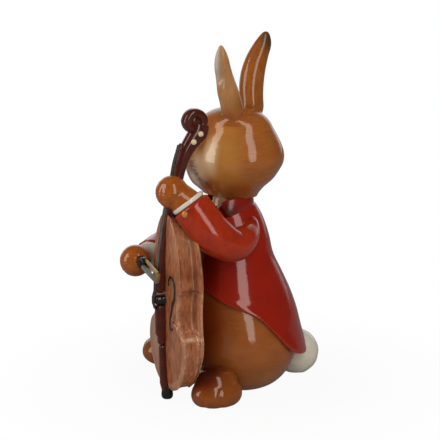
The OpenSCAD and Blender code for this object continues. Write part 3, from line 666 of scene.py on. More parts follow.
@dataclass(frozen=True)
class Palette:
    """The finishes of the figurine's pieces, each an underglaze colour under the same clear glaze."""

    # Brown stain brushed level round the belly: fine strokes, a darker stain beside the bass taken near black
    # by painted shade, painted shade under the coat's hem, buff at the throat.
    body: Glaze = Glaze(
        "fur_underglaze_body", "#9c5726", mottle=0.07, streak_colour="#824718", streak_strength=0.4,
        streak_size=(7, 7, 0.7),
        sprays=(
            # A darker stain beside the bass, deepened by painted shade.
            Spray((13, -20, 32), (11, 8, 24), "#481a07", 0.9, 0.25),
            Spray((17, -18, 32), (13, 11, 26), "#6f2706", 0.75, 0.1),
            # Painted shade under the coat's hem.
            Spray((23, -10, 44), (16, 12, 9), "#6c350f", 0.6),
            Spray((24, 6, 8), (16, 18, 8), "#9c6a38", 0.5),
            Spray((0, -10.5, 77), (8.5, 8, 11), "#8f7053", 0.95, 0.6),
        ),
    )
    # Ochre stain brushed across the skull: honey on the cheek, a cream streak there that is partly a painted
    # highlight, painted shade round the base, cream on the jaw, dark grey strokes beside the scroll and along
    # the jaw.
    head: Glaze = Glaze(
        "fur_underglaze_head", "#a8622a", mottle=0.06, streak_colour="#84440f", streak_strength=0.5,
        streak_size=(5, 5, 0.45),
        sprays=(
            Spray((11, -11, 99), (13, 12, 22), "#c58840", 0.85, 0.1),
            # Pale stain down the cheek that is partly a painted highlight.
            Spray((6.6, -14.4, 98.5), (6, 6, 12), "#dcc09a", 0.8, 0.15),
            # Painted shade round the base of the head.
            Spray((11.6, -4, 80), (18, 14, 7.5), "#8a4c1c", 0.85, 0.2),
            Spray((17, 11, 101), (6, 8, 16), "#7c4822", 0.5),
            Spray((-0.5, -16.5, 104), (4.5, 5.5, 10), "#5e4022", 0.8),
            Spray((0, -16, 93), (8, 5, 9), "#cdb48e", 0.7, 0.2),
            Spray((-5, -16.5, 91), (6, 6, 8), "#3a322a", 0.95, 0.2, 0.9),
            Spray((-2, -14.5, 85.5), (9, 7, 4), "#4a3a28", 0.9, 0.2, 0.8),
            Spray((-7, -16, 86), (5, 6, 6), "#d8cdb8", 0.8, 0.2, 0.5),
            Spray((-0.5, -7, 115.2), (6, 5.5, 4.5), "#a98048", 0.7),
            Spray((-19, -13, 91), (9, 9, 9), "#d8cbb2", 0.85, 0.3),
        ),
    )
    # Thin sandy stain in long strokes, browner at the root, with a dish of pale pinkish cream.
    near_ear: Glaze = Glaze(
        "fur_underglaze_near_ear", "#b98450", mottle=0.06, streak_colour="#8a5526", streak_strength=0.3,
        streak_size=(1.4, 1.4, 8),
        sprays=(
            Spray((10.5, -3.5, 114), (5.5, 9, 15), "#85491c", 0.8, 0.2),
            Spray((6, -5, 110.5), (14, 14, 9.5), "#a05b25", 1.0, 0.55),
        ),
        carried_colours=(Wear("dish", "#e2d4c6", 0.95),),
    )
    # Thicker chestnut stain in long light and dark strokes, with a dark brown tip.
    far_ear: Glaze = Glaze(
        "fur_underglaze_far_ear", "#914f1c", mottle=0.08, streak_colour="#b06c2c", streak_strength=0.45,
        streak_size=(1.2, 1.2, 9),
        sprays=(
            Spray((-4, 18, 143), (7, 7, 10), "#46301f", 0.9, 0.1),
            Spray((-3, 5, 114), (8, 8, 5), "#a3602a", 0.8),
        ),
        carried_colours=(Wear("dish", "#e2d4c6", 0.95),),
    )
    # Ginger stain in short strokes, with painted shade on the underside of each paw.
    paw: Glaze = Glaze(
        "fur_underglaze_paw", "#a4571a", mottle=0.12, mottle_size=3, streak_colour="#7c3a0e",
        streak_strength=0.4, streak_size=(2.5, 2.5, 1.2),
        sprays=(
            # Painted shade under each paw.
            Spray((10, -36, 79), (9, 9, 5), "#7a3a10", 0.7),
            Spray((-8, -42, 48.5), (9, 9, 5), "#6b3410", 0.7),
        ),
    )
    # Red-brown stain, thin on the toes, with painted shade, nearly black, on the instep beside the bass.
    foot: Glaze = Glaze(
        "fur_underglaze_foot", "#8c4a1a", mottle=0.12, mottle_size=4,
        sprays=(
            # Painted shade on the instep beside the bass.
            Spray((22, -25, 12), (16, 14, 10), "#6a2003", 0.9, 0.25),
            Spray((22, -24, 13), (9, 9, 8), "#3f1305", 0.9, 0.3),
            Spray((23, -16, 16), (9, 8, 4.5), "#4a1c08", 0.7),
        ),
    )
    # Scarlet stain under thick gloss, with maroon painted shade beside the bass and in the hollow under the
    # collar, and an orange painted highlight along the hem.
    coat: Glaze = Glaze(
        "red_underglaze_coat", "#961c08", mottle=0.08, mottle_size=9,
        sprays=(
            # Painted shade beside the bass, then in the hollow under the collar.
            Spray((11, -18, 50), (10, 8, 26), "#560703", 0.85, 0.2),
            Spray((7, -12, 72), (7, 7, 8), "#6e0a05", 0.8, 0.3),
        ),
        # Orange painted highlight along the hem.
        carried_colours=(Wear("edge", "#b8482c", 0.5, 0.3),),
    )
    # The coat's stain a little deeper and less glassy, with painted shade, nearly black, in the hollow of the
    # lapel.
    collar: Glaze = Glaze(
        "red_underglaze_collar", "#8a1807", mottle=0.08, coat_roughness=0.2,
        # Painted shade in the hollow of the lapel.
        sprays=(Spray((6, -9, 75), (9, 8, 7), "#3c0302", 0.95, 0.3),),
    )
    # Orange-red stain wiped along the arm, so that it looks streaky and softer than the coat, with painted
    # shade where the arm meets the shoulder and under the elbow.
    sleeve: Glaze = Glaze(
        "red_underglaze_sleeve", "#a82f0d", mottle=0.14, mottle_size=5, coat_roughness=0.12,
        streak_colour="#8e1e0c", streak_strength=0.5, streak_size=(2.5, 2.5, 7),
        sprays=(
            # Painted shade where the arm meets the shoulder, then under the elbow.
            Spray((13, 2, 72), (9, 7, 9), "#8c1508", 0.8),
            Spray((24, -11, 60), (9, 9, 5), "#8a3a22", 0.8),
        ),
    )
    # Cream slip under clear glaze: off-white and nearly even.
    cream: Glaze = Glaze("cream_underglaze", "#dcd7ca", mottle=0.05, mottle_size=3)
    # The same slip a shade warmer, which sets the tail apart from the cuffs.
    tail: Glaze = Glaze("cream_underglaze_tail", "#d9d3c3", mottle=0.05, mottle_size=4)
    # The same slip, yellower and blotched like old ivory.
    peg: Glaze = Glaze("cream_underglaze_peg", "#dccfae", mottle=0.1, mottle_size=1)
    # Thin brown wash dragged down with a dry brush: streaks like wood grain, pale rubbed edges that also
    # stand for painted highlights, and a groove line of painted shade.
    bass: Glaze = Glaze(
        "wood_underglaze_bass", "#b2704c", mottle=0.22, mottle_size=7, streak_colour="#6f3110",
        streak_strength=0.85, streak_size=(1.1, 1.1, 4.5),
        sprays=(
            Spray((20, -36, 22), (12, 14, 26), "#98603c", 0.35),
            Spray((0, -38, 25), (10, 9, 30), "#b08468", 0.6, 0.3),
            Spray((18, -32, 67), (14, 9, 12), "#b9835c", 0.4),
            Spray((24, -30, 56), (10, 8, 6), "#713512", 0.55),
            Spray((22, -31, 40), (6, 6, 9), "#a5602f", 0.5),
        ),
        # Pale rubbed edges that also stand for painted highlights, and painted shade along the groove.
        carried_colours=(Wear("edge", "#dfb898", 0.62, 0.7), Wear("groove", "#4a1c0c", 0.85, 0.2)),
    )
    # Thick maroon stain: almost black in shade, and red where light comes through it.
    dark_wood: Glaze = Glaze("maroon_underglaze_neck", "#4c1a10", mottle=0.3, mottle_size=3)
    # Black-brown stain, even and glassy.
    black: Glaze = Glaze("black_underglaze", "#1c1512", mottle=0.2, mottle_size=2)
    # The black-brown stain thinned, so that the holes look like shadow and not like paint.
    sound_hole: Glaze = Glaze("grey_underglaze_sound_hole", "#2c1e1a", mottle=0.15, mottle_size=2)
    # Dull pink stain, one touch of the brush.
    nose: Glaze = Glaze("pink_underglaze_nose", "#7a3d36", mottle=0.05)
    # Gold lustre fired over the glaze: yellow, and only partly mirror-like.
    gold: Glaze = Glaze("gold_lustre", "#cf9440", mottle=0.1, mottle_size=1.5, metallic=0.3)
    # Grey stain over maroon, uneven along the strings and brown at both of their ends.
    grey: Glaze = Glaze(
        "grey_underglaze_strings", "#574840", mottle=0.4, mottle_size=3,
        sprays=(
            Spray((10, -30, 101), (8, 14, 20), "#2c140e", 0.9, 0.5),
            Spray((10, -41, 42), (8, 8, 9), "#2c1c18", 0.85, 0.4),
        ),
    )
    # Gold lustre that has dulled: brownish, with blotches.
    old_gold: Glaze = Glaze("old_gold_lustre", "#8d6a3a", mottle=0.35, mottle_size=1.5, metallic=0.3)
    # Silver lustre over grey: a cool sheen in blotches.
    silver: Glaze = Glaze("silver_lustre_bow", "#8b8a88", mottle=0.3, mottle_size=2, metallic=0.4)
    # Straw-coloured stain, for the bow's hair.
    hair: Glaze = Glaze("cream_underglaze_hair", "#b29a6e", mottle=0.2, mottle_size=2)


@dataclass
class SubAssembly:
    """Pieces that are built together: it finishes each of them and ties it to its place in the frame."""

    palette: ClassVar[Palette] = Palette()
    body: ClassVar[str] = "root"

    def make(self, name: str, shells: Sequence[Shell], node: str, slot: str, finish: Glaze) -> None:
        """Makes a piece of closed shells and finishes it.

        Args:
            name: the piece's name.
            shells: its closed surfaces.
            node: the frame's node that the piece replaces.
            slot: a material slot's name, which is not used.
            finish: the piece's glaze.
        """
        self.place(mesh_object(name, shells), node, slot, finish)

    def place(self, made: bpy.types.Object, node: str, slot: str, finish: Glaze) -> None:
        """Gives a piece its glaze and its body, and hides the frame's node that it stands for.

        Args:
            made: the piece.
            node: the frame's node that the piece replaces.
            slot: a material slot's name, which is not used.
            finish: the piece's glaze.
        """
        made.data.materials.clear()
        made.data.materials.append(finish.material())
        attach(made, self.body)
        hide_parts(node)
        LOG.info("%s stands for %s: %d faces, %s", made.name, node, len(made.data.polygons), finish.name)


@dataclass
class BodyForm(SubAssembly):
    """The body casting. Its rings are half ellipses before and behind the axis, whose radii follow tables of
    shares, and its lower edge draws in along a quarter circle."""

    height: float = 80.0
    half_width: float = 29.0
    front: float = 24.0
    back: float = 26.5
    edge_height: float = 22.0
    edge_depth: float = 15.0
    base_r: float = 9.5
    base_height: float = 0.6
    vent_r: float = 2.5
    vent_depth: float = 3.0
    disc_share: float = 0.9
    rings: int = 130
    around: int = 192
    crowding: float = 1.5
    shares: Rows = (
        (0.983, 1.05, 0.983), (0.983, 1, 0.983), (1, 0.98, 1.01), (0.966, 1, 0.97), (0.897, 1, 0.902),
        (0.793, 0.96, 0.798), (0.672, 0.875, 0.66), (0.569, 0.77, 0.515), (0.5, 0.667, 0.445),
        (0.38, 0.54, 0.345), (0.205, 0.4, 0.195),
    )

    def radii(self, z: np.ndarray, grow: np.ndarray | float = 0.0) -> np.ndarray:
        """The rings' radii: the table's shares of the three sizes, less what the lower edge draws in.

        Args:
            z: heights.
            grow: distance to add all round.

        Returns:
            Half width, front depth and back depth at each height.
        """
        z = np.asarray(z, float)
        draw = self.edge_depth * (1 - rounded(z / self.edge_height)) - grow
        sizes = np.array([self.half_width, self.front, self.back])
        return row_curve(self.shares, z / self.height) * sizes - draw[..., None]

    def point(self, z: np.ndarray, angle: np.ndarray, grow: np.ndarray | float = 0.0) -> np.ndarray:
        """Points of the surface: the cosine of the angle times the half width, and its sine times the depth.

        Args:
            z: heights.
            angle: angles from the figure's left towards its back.
            grow: distance from the surface.

        Returns:
            The points.
        """
        z, angle, grow = np.broadcast_arrays(z, angle, grow)
        r = self.radii(z, grow)
        depth = np.where(np.sin(angle) > 0, r[..., 2], r[..., 1])
        return points(r[..., 0] * np.cos(angle), depth * np.sin(angle), z)

    def build(self) -> None:
        """Builds the body: the disc that it stands on, then rings that are closer together near the floor."""
        t = ring_angles(self.around)
        share = np.linspace(0, 1, self.rings) ** self.crowding
        z = self.base_height + (self.height - self.base_height) * share
        rings = self.point(z[:, None], t[None])
        circle = points(np.cos(t), np.sin(t), 0)
        vent, disc = circle * self.vent_r, circle * self.base_r
        inside = [0, 0, self.vent_depth]
        above = [0, 0, self.base_height * self.disc_share]
        foot = np.stack([vent + inside, vent, disc, disc + above])
        grid = np.concatenate([foot, rings])
        self.make("body_casting", [Shell(grid)], "body", "fur_glaze", self.palette.body)


@dataclass
class Coat(SubAssembly):
    """The tailcoat, which lies on the body's form."""

    form: BodyForm
    thickness: float = 1.3
    clearance: float = 0.2
    flare: float = 9.0
    waist_share: float = 0.35
    opening: float = 24.0
    top: float = 77.0
    hem_shares: tuple[float, ...] = (0.57, 0.54, 0.497, 0.465, 0.419, 0.325, 0.228, 0.19, 0.17, 0.155, 0.4)
    bead: float = 0.3
    bead_height: float = 1.5
    bead_middle: float = 0.5
    front_share: float = 0.008
    front_least: float = 0.3
    # Spread of the painted highlight along the hem.
    hem_highlight_height: float = 0.7
    columns: int = 260
    rows: int = 90
    fold_rows: int = 9

    @property
    def outer(self) -> float:
        """Distance of the coat's outer side from the body."""
        return self.clearance + self.thickness

    def hem_height(self, angle: np.ndarray) -> np.ndarray:
        """Height of the hem, from the front opening round to the back seam."""
        degrees = np.degrees(angle)
        share = 1 - np.abs(degrees - 90) / (180 - self.opening)
        return self.form.height * row_curve(self.hem_shares, share)

    def lift(self, z: np.ndarray) -> np.ndarray:
        """How far the tails stand out from the body: the square of their share below the waist."""
        below = np.maximum(0, self.waist_share - z / self.form.height)
        return self.flare * (below / self.waist_share) ** 2

    def build(self) -> None:
        """Builds the coat: the section from the collar down the outer side, round the hem and up the inner
        side, carried round the body from one front edge to the other, with a number that is high along the
        hem for its painted highlight."""
        turn = np.linspace(0, 1, self.columns)
        angle = np.radians(self.opening - 90 + (360 - 2 * self.opening) * turn)[:, None]
        ends = rounded_ends(self.columns, self.front_share, self.front_least)[:, None]
        s = np.linspace(1, 0, self.rows)[None]
        hem = self.hem_height(angle)
        half = self.thickness * ends / 2
        low, high = hem + half, self.top - half
        z_side = low + s * (high - low)
        bead = self.bead * hump(z_side - low - self.bead_height * self.bead_middle, self.bead_height)
        outer = self.clearance + 2 * half + bead * ends
        phi = np.linspace(0, np.pi, self.fold_rows)[None, 1:-1]
        hem_grow = self.clearance + half + (half + bead[:, -1:] * (phi < np.pi / 2)) * np.cos(phi)
        hem_z = low - half * np.sin(phi)
        top_grow = self.clearance + half - half * np.cos(phi)
        top_z = high + half * np.sin(phi)
        inner_z = z_side[:, ::-1]
        z = np.concatenate([z_side, hem_z, inner_z, top_z], 1)
        grow = np.concatenate([outer, hem_grow, np.full_like(inner_z, self.clearance), top_grow], 1)
        grid = self.form.point(z, angle, grow + self.lift(z))
        shell = Shell(grid, Cap.LADDER, {"edge": hump(z - hem, self.hem_highlight_height)})
        self.make("coat_shell", [shell], "coat", "coat_glaze", self.palette.coat)


@dataclass
class Collar(SubAssembly):
    """The coat's rolled collar, lower and fuller at its front ends. Its rise, its falls and how far it leans
    out are shares of its width and thickness, and a place of 0 is the nape and of 1 the throat."""

    coat: Coat
    base: float = 74.4
    width: float = 5.2
    thickness: float = 2.2
    opening: float = 31.0
    nape_rise: float = 0.62
    throat_fall: float = 0.7
    fall_power: int = 4
    lapel_place: float = 0.72
    lapel_spread: float = 0.26
    lapel_fall: float = 0.16
    lapel_widening: float = 0.75
    nape_lean: float = -0.5
    throat_lean: float = 0.8
    nape_fullness: float = 0.6
    throat_fullness: float = 0.7
    end_share: float = 0.09
    end_least: float = 0.12
    rings: int = 120
    around: int = 40

    def build(self) -> None:
        """Builds the collar: ovals round a line on the coat, each with one axis away from the neck."""
        s = np.linspace(0, 1, self.rings)
        angle = np.radians(self.opening - 90 + (360 - 2 * self.opening) * s)
        low = (1 - np.sin(angle)) / 2
        lapel = hump(low - self.lapel_place, self.lapel_spread)
        rise = self.nape_rise - self.throat_fall * low**self.fall_power - self.lapel_fall * lapel
        z = self.base + self.width * rise
        away = self.coat.outer + self.thickness * (self.throat_lean * low + self.nape_lean)
        path = self.coat.form.point(z, angle, away)
        closing = rounded_ends(self.rings, self.end_share, self.end_least)
        out = unit(path * [1, 1, 0])
        heading = unit(np.gradient(path, axis=0))
        u = unit(out - heading * (out * heading).sum(1)[:, None])
        v = np.cross(heading, u)
        t = ring_angles(self.around)[None, :, None]
        fullness = self.nape_fullness + self.throat_fullness * low
        a = (self.thickness / 2 * fullness * closing)[:, None, None]
        b = (self.width / 2 * (1 + self.lapel_widening * lapel) * closing)[:, None, None]
        grid = path[:, None] + u[:, None] * a * np.cos(t) + v[:, None] * b * np.sin(t)
        self.make("collar_roll", [Shell(grid)], "collar", "collar_glaze", self.palette.collar)


@dataclass
class Head(SubAssembly):
    """The turned head: rings whose radii follow a table of shares, narrower at the muzzle."""

    base: float = 80.0
    height: float = 36.7
    half_width: float = 17.5
    back: float = 21.3
    front: float = 25.0
    turn: float = -56.0
    muzzle_share: float = 0.3
    muzzle_start: float = 0.5
    temple: float = 1.4
    crown_share: float = 0.83
    top_ring: float = 0.9985
    rings: int = 170
    around: int = 224
    crowding: float = 1.5
    shares: Rows = (
        (0.49, 0.62, 0.43), (0.66, 0.82, 0.55), (0.83, 0.9, 0.74), (0.935, 0.93, 0.865), (0.985, 0.98, 0.955),
        (0.97, 0.97, 0.966), (0.9, 0.84, 0.915), (0.81, 0.74, 0.826), (0.7, 0.66, 0.732),
        (0.655, 0.6, 0.643), (0.63, 0.56, 0.624),
    )
    # What stands out of the face: how far, the share of the head's height and its spread, and the degrees
    # towards the figure's left and their spread.
    bumps: Rows = (
        # cheek pads
        (1.3, 0.4, 0.09, -11, 9), (1.3, 0.4, 0.09, 11, 9),
        # chin, mouth line and parting of the lip
        (0.7, 0.26, 0.05, 0, 12), (-0.9, 0.31, 0.014, 0, 24), (-0.7, 0.39, 0.06, 0, 2.2),
        # sockets of the eyes
        (-0.9, 0.6, 0.085, -52, 11), (-0.9, 0.6, 0.085, 52, 11),
        # brows
        (0.7, 0.7, 0.035, -50, 16), (0.7, 0.7, 0.035, 50, 16),
    )

    def relief(self, h: np.ndarray, angle: np.ndarray) -> np.ndarray:
        """How far the face stands out of the plain head: the sum of a bell curve for each bump.

        Args:
            h: shares of the head's height.
            angle: angles from the head's left.

        Returns:
            The distances.
        """
        across = np.degrees(angle) + 90
        return sum(rise * hump(h - height, spread) * hump(across - aside, width)
                   for rise, height, spread, aside, width in self.bumps)

    def point(self, h: np.ndarray, angle: np.ndarray, grow: np.ndarray | float = 0.0) -> np.ndarray:
        """Points of the head before it is turned. The depth goes over from the back's to the front's at the
        temples, and the width narrows towards the muzzle by the square of the way there.

        Args:
            h: shares of the head's height.
            angle: angles from the head's left.
            grow: distance from the plain head.

        Returns:
            The points.
        """
        h, angle, grow = np.broadcast_arrays(h, angle, grow)
        crown = rounded((1 - h) / (1 - self.crown_share))[..., None]
        r = row_curve(self.shares, h) * [self.half_width, self.front, self.back] * crown
        forward = -np.sin(angle)
        start = self.muzzle_start
        narrow = 1 - self.muzzle_share * (np.maximum(forward + start, 0) / (1 + start)) ** 2
        depth = r[..., 2] + (r[..., 1] - r[..., 2]) * smooth(0.5 + forward / self.temple)
        x = (r[..., 0] + grow) * np.cos(angle) * narrow
        return points(x, (depth + grow) * np.sin(angle), self.base + self.height * h)

    def build(self) -> None:
        """Builds the head, with rings closer together at the crown."""
        h = (1 - (1 - np.linspace(0, self.top_ring, self.rings)) ** self.crowding)[:, None]
        angle = ring_angles(self.around)[None] - 0.75 * FULL_TURN
        grid = turned(self.point(h, angle, self.relief(h, angle)), self.turn)
        self.make("head_casting", [Shell(grid)], "head", "fur_glaze", self.palette.head)


@dataclass
class Ear(SubAssembly):
    """An ear: leaning rings with a dished inner side, and a patch of the head that its root runs into. Places
    along it are shares of its rise, and its rings' depths are shares of their half depth."""

    head: Head
    side: Side
    rise: float
    spacing: float = 8.6
    root_back: float = 0.14
    root_height: float = 0.92
    lean: float = 9.6
    width: float = 10.4
    thickness: float = 6.0
    tip_share: float = 0.24
    facing: tuple[float, float] = (0.515, 0.858)
    # Sideways lean, forward lean, half width and half depth, from the root to the tip.
    shares: Rows = (
        (0, 0, 0.94, 0.95), (0.03, 0.02, 0.93, 0.92), (0.16, 0.045, 0.97, 0.88), (0.39, 0.06, 0.97, 0.82),
        (0.65, 0.05, 0.9, 0.72), (0.88, 0.01, 0.76, 0.56), (1, -0.02, 0.6, 0.44),
    )
    # The part inside the head: places along the ear and the shares of its size there.
    root_heights: tuple[float, ...] = (-0.2, -0.03, 0.05, 0.12)
    root_widths: tuple[float, ...] = (0.25, 0.55, 0.95, 1.0)
    root_power: float = 0.4
    root_reach: int = 5
    # The dish: where it begins and is full, how wide it is, and the depths of its rim and its bowl.
    dish_heights: tuple[float, float] = (0.28, 0.58)
    bowl_level: float = 1.15
    bowl_fall: float = 1.3
    root_rim: float = 0.62
    dish_rim: float = 0.2
    bowl_depth: float = 0.5
    rim_power: float = 0.8
    # The dish's paint: where it begins and is full in depth, from both sides and along the ear.
    paint_depths: tuple[float, float] = (-0.32, -0.02)
    paint_back: tuple[float, float] = (-0.9, -0.65)
    paint_front: tuple[float, float] = (0.65, 0.25)
    paint_heights: tuple[float, float] = (1.1 / 3, 0.7)
    paint_least: float = 0.3
    # The patch: its height and half height as shares of the head's, its half width in radians, and how far
    # its mound, its rim and its underside lie from the head's skin.
    patch_height: float = 0.9
    patch_rise: float = 0.1
    patch_spread: float = 0.75
    patch_mound: float = 0.9
    patch_rim: float = -0.15
    patch_depth: float = 1.5
    patch_start: float = 0.02
    patch_rings: int = 40
    patch_around: int = 96
    foot_ring: float = -0.2
    top_ring: float = 0.9985
    rings: int = 140
    around: int = 120
    grain: float = 0.28
    rounds: int = 26

    @property
    def root(self) -> np.ndarray:
        """The point of the head from which the ear rises."""
        head = self.head
        height = head.base + head.height * self.root_height
        return np.array([self.side * self.spacing, head.back * self.root_back, height])

    @property
    def frame(self) -> tuple[np.ndarray, np.ndarray]:
        """Directions across the ear and out of its inner side, at right angles to each other."""
        x, y = self.facing
        return np.array([self.side * x, y, 0]), np.array([self.side * y, -x, 0])

    def middle(self, share: np.ndarray) -> tuple[np.ndarray, np.ndarray, np.ndarray]:
        """The ear's rings, whose sizes follow the table and close at the tip along a quarter circle.

        Args:
            share: shares of the ear's length.

        Returns:
            The middle line, the half width and the half depth there.
        """
        row = row_curve(self.shares, share)
        closing = rounded((1 - share) / self.tip_share)
        lean = points(self.side * self.lean * row[..., 0], -self.rise * row[..., 1], self.rise * share)
        half = self.width / 2 * row[..., 2] * closing
        return self.root + lean, half, self.thickness * row[..., 3] * closing

    def casting(self) -> np.ndarray:
        """The ear's own surface: on the inner side a flat rim whose middle sinks into the dish.

        Returns:
            The grid of its rings, from inside the head to the tip.
        """
        s = np.linspace(self.foot_ring, self.top_ring, self.rings)
        centre, a, b = self.middle(s)
        sunk = averaged(np.interp(s, self.root_heights, self.root_widths), self.root_reach)
        a, b = a * sunk**self.root_power, b * sunk
        t = self.side * ring_angles(self.around)[None]
        hollow = smooth(ramp(s, self.dish_heights))[:, None]
        bowl = smooth(self.bowl_level - np.abs(np.cos(t)) * self.bowl_fall) * hollow
        rim = self.root_rim * (1 - hollow) + self.dish_rim * hollow
        front = rim * np.abs(np.sin(t)) ** self.rim_power
        depth = np.where(np.sin(t) > 0, front - self.bowl_depth * bowl, np.sin(t))[..., None]
        side, inner = self.frame
        across = side * (a[:, None] * np.cos(t))[..., None]
        return centre[:, None] + across + inner * (b[:, None, None] * depth)

    def root_patch(self) -> np.ndarray:
        """A thin lens on the head round the ear's root, in which the ear and the head run into each other.

        Returns:
            A polar grid over the head's skin, out along its upper side and back along its lower side.
        """
        outwards = np.linspace(self.patch_start, 1, self.patch_rings)
        reach = np.concatenate([outwards, np.linspace(1, self.patch_start, self.patch_rings)])[:, None]
        mound = self.patch_mound * (1 - outwards**2) ** 2 + self.patch_rim
        under = self.patch_rim - self.patch_depth * rounded(np.linspace(0, 1, self.patch_rings))
        depth = np.concatenate([mound, under])[:, None]
        t = ring_angles(self.patch_around)[None]
        h = self.patch_height + self.patch_rise * reach * np.sin(t)
        angle = np.arctan2(self.root[1], self.root[0]) + self.patch_spread * reach * np.cos(t)
        return self.head.point(h, angle, depth)

    def painted(self, places: np.ndarray) -> np.ndarray:
        """Which points lie in the dish, from their place across the ear, in its depth and along it.

        Args:
            places: points of the ear before the head is turned.

        Returns:
            1 in the dish and 0 outside it, with soft borders.
        """
        share = np.clip((places[:, 2] - self.root[2]) / self.rise, 0, 1)
        centre, a, b = self.middle(share)
        side, inner = self.frame
        across = (places - centre) @ side / np.maximum(a, self.paint_least)
        depth = (places - centre) @ inner / np.maximum(b, self.paint_least)
        sides = ramp(across, self.paint_back) * ramp(across, self.paint_front)
        return ramp(depth, self.paint_depths) * sides * ramp(share, self.paint_heights)

    def build(self, finish: Glaze) -> None:
        """Builds the ear, joined to its patch, and carries along which points lie in the dish.

        Args:
            finish: the ear's glaze.
        """
        node = f"{self.side.label}_ear"
        shells = [Shell(turned(grid, self.head.turn)) for grid in (self.casting(), self.root_patch())]
        made = fused(f"{node}_casting", shells, self.grain, self.rounds)
        flat = np.empty(len(made.data.vertices) * 3, np.float32)
        made.data.vertices.foreach_get("co", flat)
        carry(made.data, "dish", self.painted(turned(flat.reshape(-1, 3) / MM, -self.head.turn)))
        self.place(made, node, "fur_glaze", finish)


@dataclass
class Face(SubAssembly):
    """The eyes and the nose of a plain rabbit. Heights are shares of the head's."""

    head: Head
    eye_r: float = 2.1
    eye_height: float = 0.6
    eye_degrees: tuple[float, float] = (-38.0, -142.0)
    eye_sunk: float = 0.45
    nose_half_width: float = 2.2
    nose_height: float = 0.46
    nose_out: float = 0.5
    nose_squash: float = 0.7
    nose_widening: float = 0.3

    def build(self) -> None:
        """Builds both eyes, domes in their sockets, and the nose, a ball that widens upwards."""
        shells = []
        for degrees in self.eye_degrees:
            angle = np.radians(degrees)
            centre = self.head.point(np.array(self.eye_height), angle, -self.eye_r * self.eye_sunk)
            dome = ball(centre, (self.eye_r,) * 3, rows=36, around=48)
            shells.append(Shell(turned(dome, self.head.turn)))
        self.make("eye_domes", shells, "eyes", "black_glaze", self.palette.black)
        centre = self.head.point(np.array(self.nose_height), -np.pi / 2, self.nose_out)
        d = directions(rows=40, around=56)
        size = self.nose_half_width * np.array([1, self.nose_squash, self.nose_squash])
        grid = centre + d * size * points(1 + self.nose_widening * d[..., 2], 1, 1)
        nose = Shell(turned(grid, self.head.turn))
        self.make("nose_tip", [nose], "nose", "nose_glaze", self.palette.nose)


@dataclass
class Arm(SubAssembly):
    """One arm: a sleeve that bends at the elbow, its cuff and its button. The ends' lengths are shares of the
    piece's length, and how far they close is a share of its radius."""

    side: Side
    middle_line: Rows
    radii: tuple[float, ...]
    cuff_r: float
    cuff_width: float
    button_place: Point
    button_out: Point
    button_r: float = 1.5
    button_height: float = 0.62
    shoulder_share: float = 0.1
    shoulder_least: float = 0.1
    wrist_share: float = 0.02
    wrist_least: float = 0.75
    cuff_overlap: float = 0.3
    cuff_edge: float = 0.3
    cuff_least: float = 0.93
    rings: int = 110
    heading_rings: int = 3
    cuff_rings: int = 24

    def build(self) -> None:
        """Builds the sleeve as a round tube along a smooth line, and the cuff at its end."""
        s = np.linspace(0, 1, self.rings)
        path = row_curve(self.middle_line, s)
        wrist = np.maximum(rounded((1 - s) / self.wrist_share), self.wrist_least)
        shoulder = np.maximum(rounded(s / self.shoulder_share), self.shoulder_least)
        r = row_curve(self.radii, s) * wrist * shoulder
        side = self.side.label
        tube = Shell(sweep(path, r, r, ARM_SIDE, around=80))
        self.make(f"{side}_sleeve_tube", [tube], f"{side}_sleeve", "sleeve_glaze", self.palette.sleeve)
        self.build_cuff(path[-1], unit(path[-1] - path[-1 - self.heading_rings]))

    def build_cuff(self, end: np.ndarray, heading: np.ndarray) -> None:
        """Builds the cuff as a short band with rolled edges.

        Args:
            end: the middle of the sleeve's end.
            heading: the sleeve's direction there.
        """
        s = np.linspace(0, 1, self.cuff_rings)
        path = end + heading * (s * self.cuff_width - self.cuff_overlap)[:, None]
        roll = rounded(np.minimum(s, 1 - s) / self.cuff_edge)
        r = self.cuff_r * (self.cuff_least + (1 - self.cuff_least) * roll)
        band = Shell(sweep(path, r, r, ARM_SIDE, around=72))
        side = self.side.label
        self.make(f"{side}_cuff_band", [band], f"{side}_cuff", "cream_glaze", self.palette.cream)

    def button(self) -> Shell:
        """The button on the sleeve just behind the cuff: a ball made flatter along its axis.

        Returns:
            The button's surface.
        """
        d = directions(rows=24, around=32)
        out = unit(np.asarray(self.button_out))
        flat = d - out * (d @ out)[..., None] * (1 - self.button_height)
        return Shell(np.asarray(self.button_place) + self.button_r * flat)


@dataclass
class CuffButtons(SubAssembly):
    """The gold buttons of both arms, which are one piece."""

    arms: tuple[Arm, Arm]

    def build(self) -> None:
        """Builds the buttons where the arms have them."""
        shells = [arm.button() for arm in self.arms]
        self.make("cuff_button_domes", shells, "cuff_buttons", "gold_glaze", self.palette.gold)


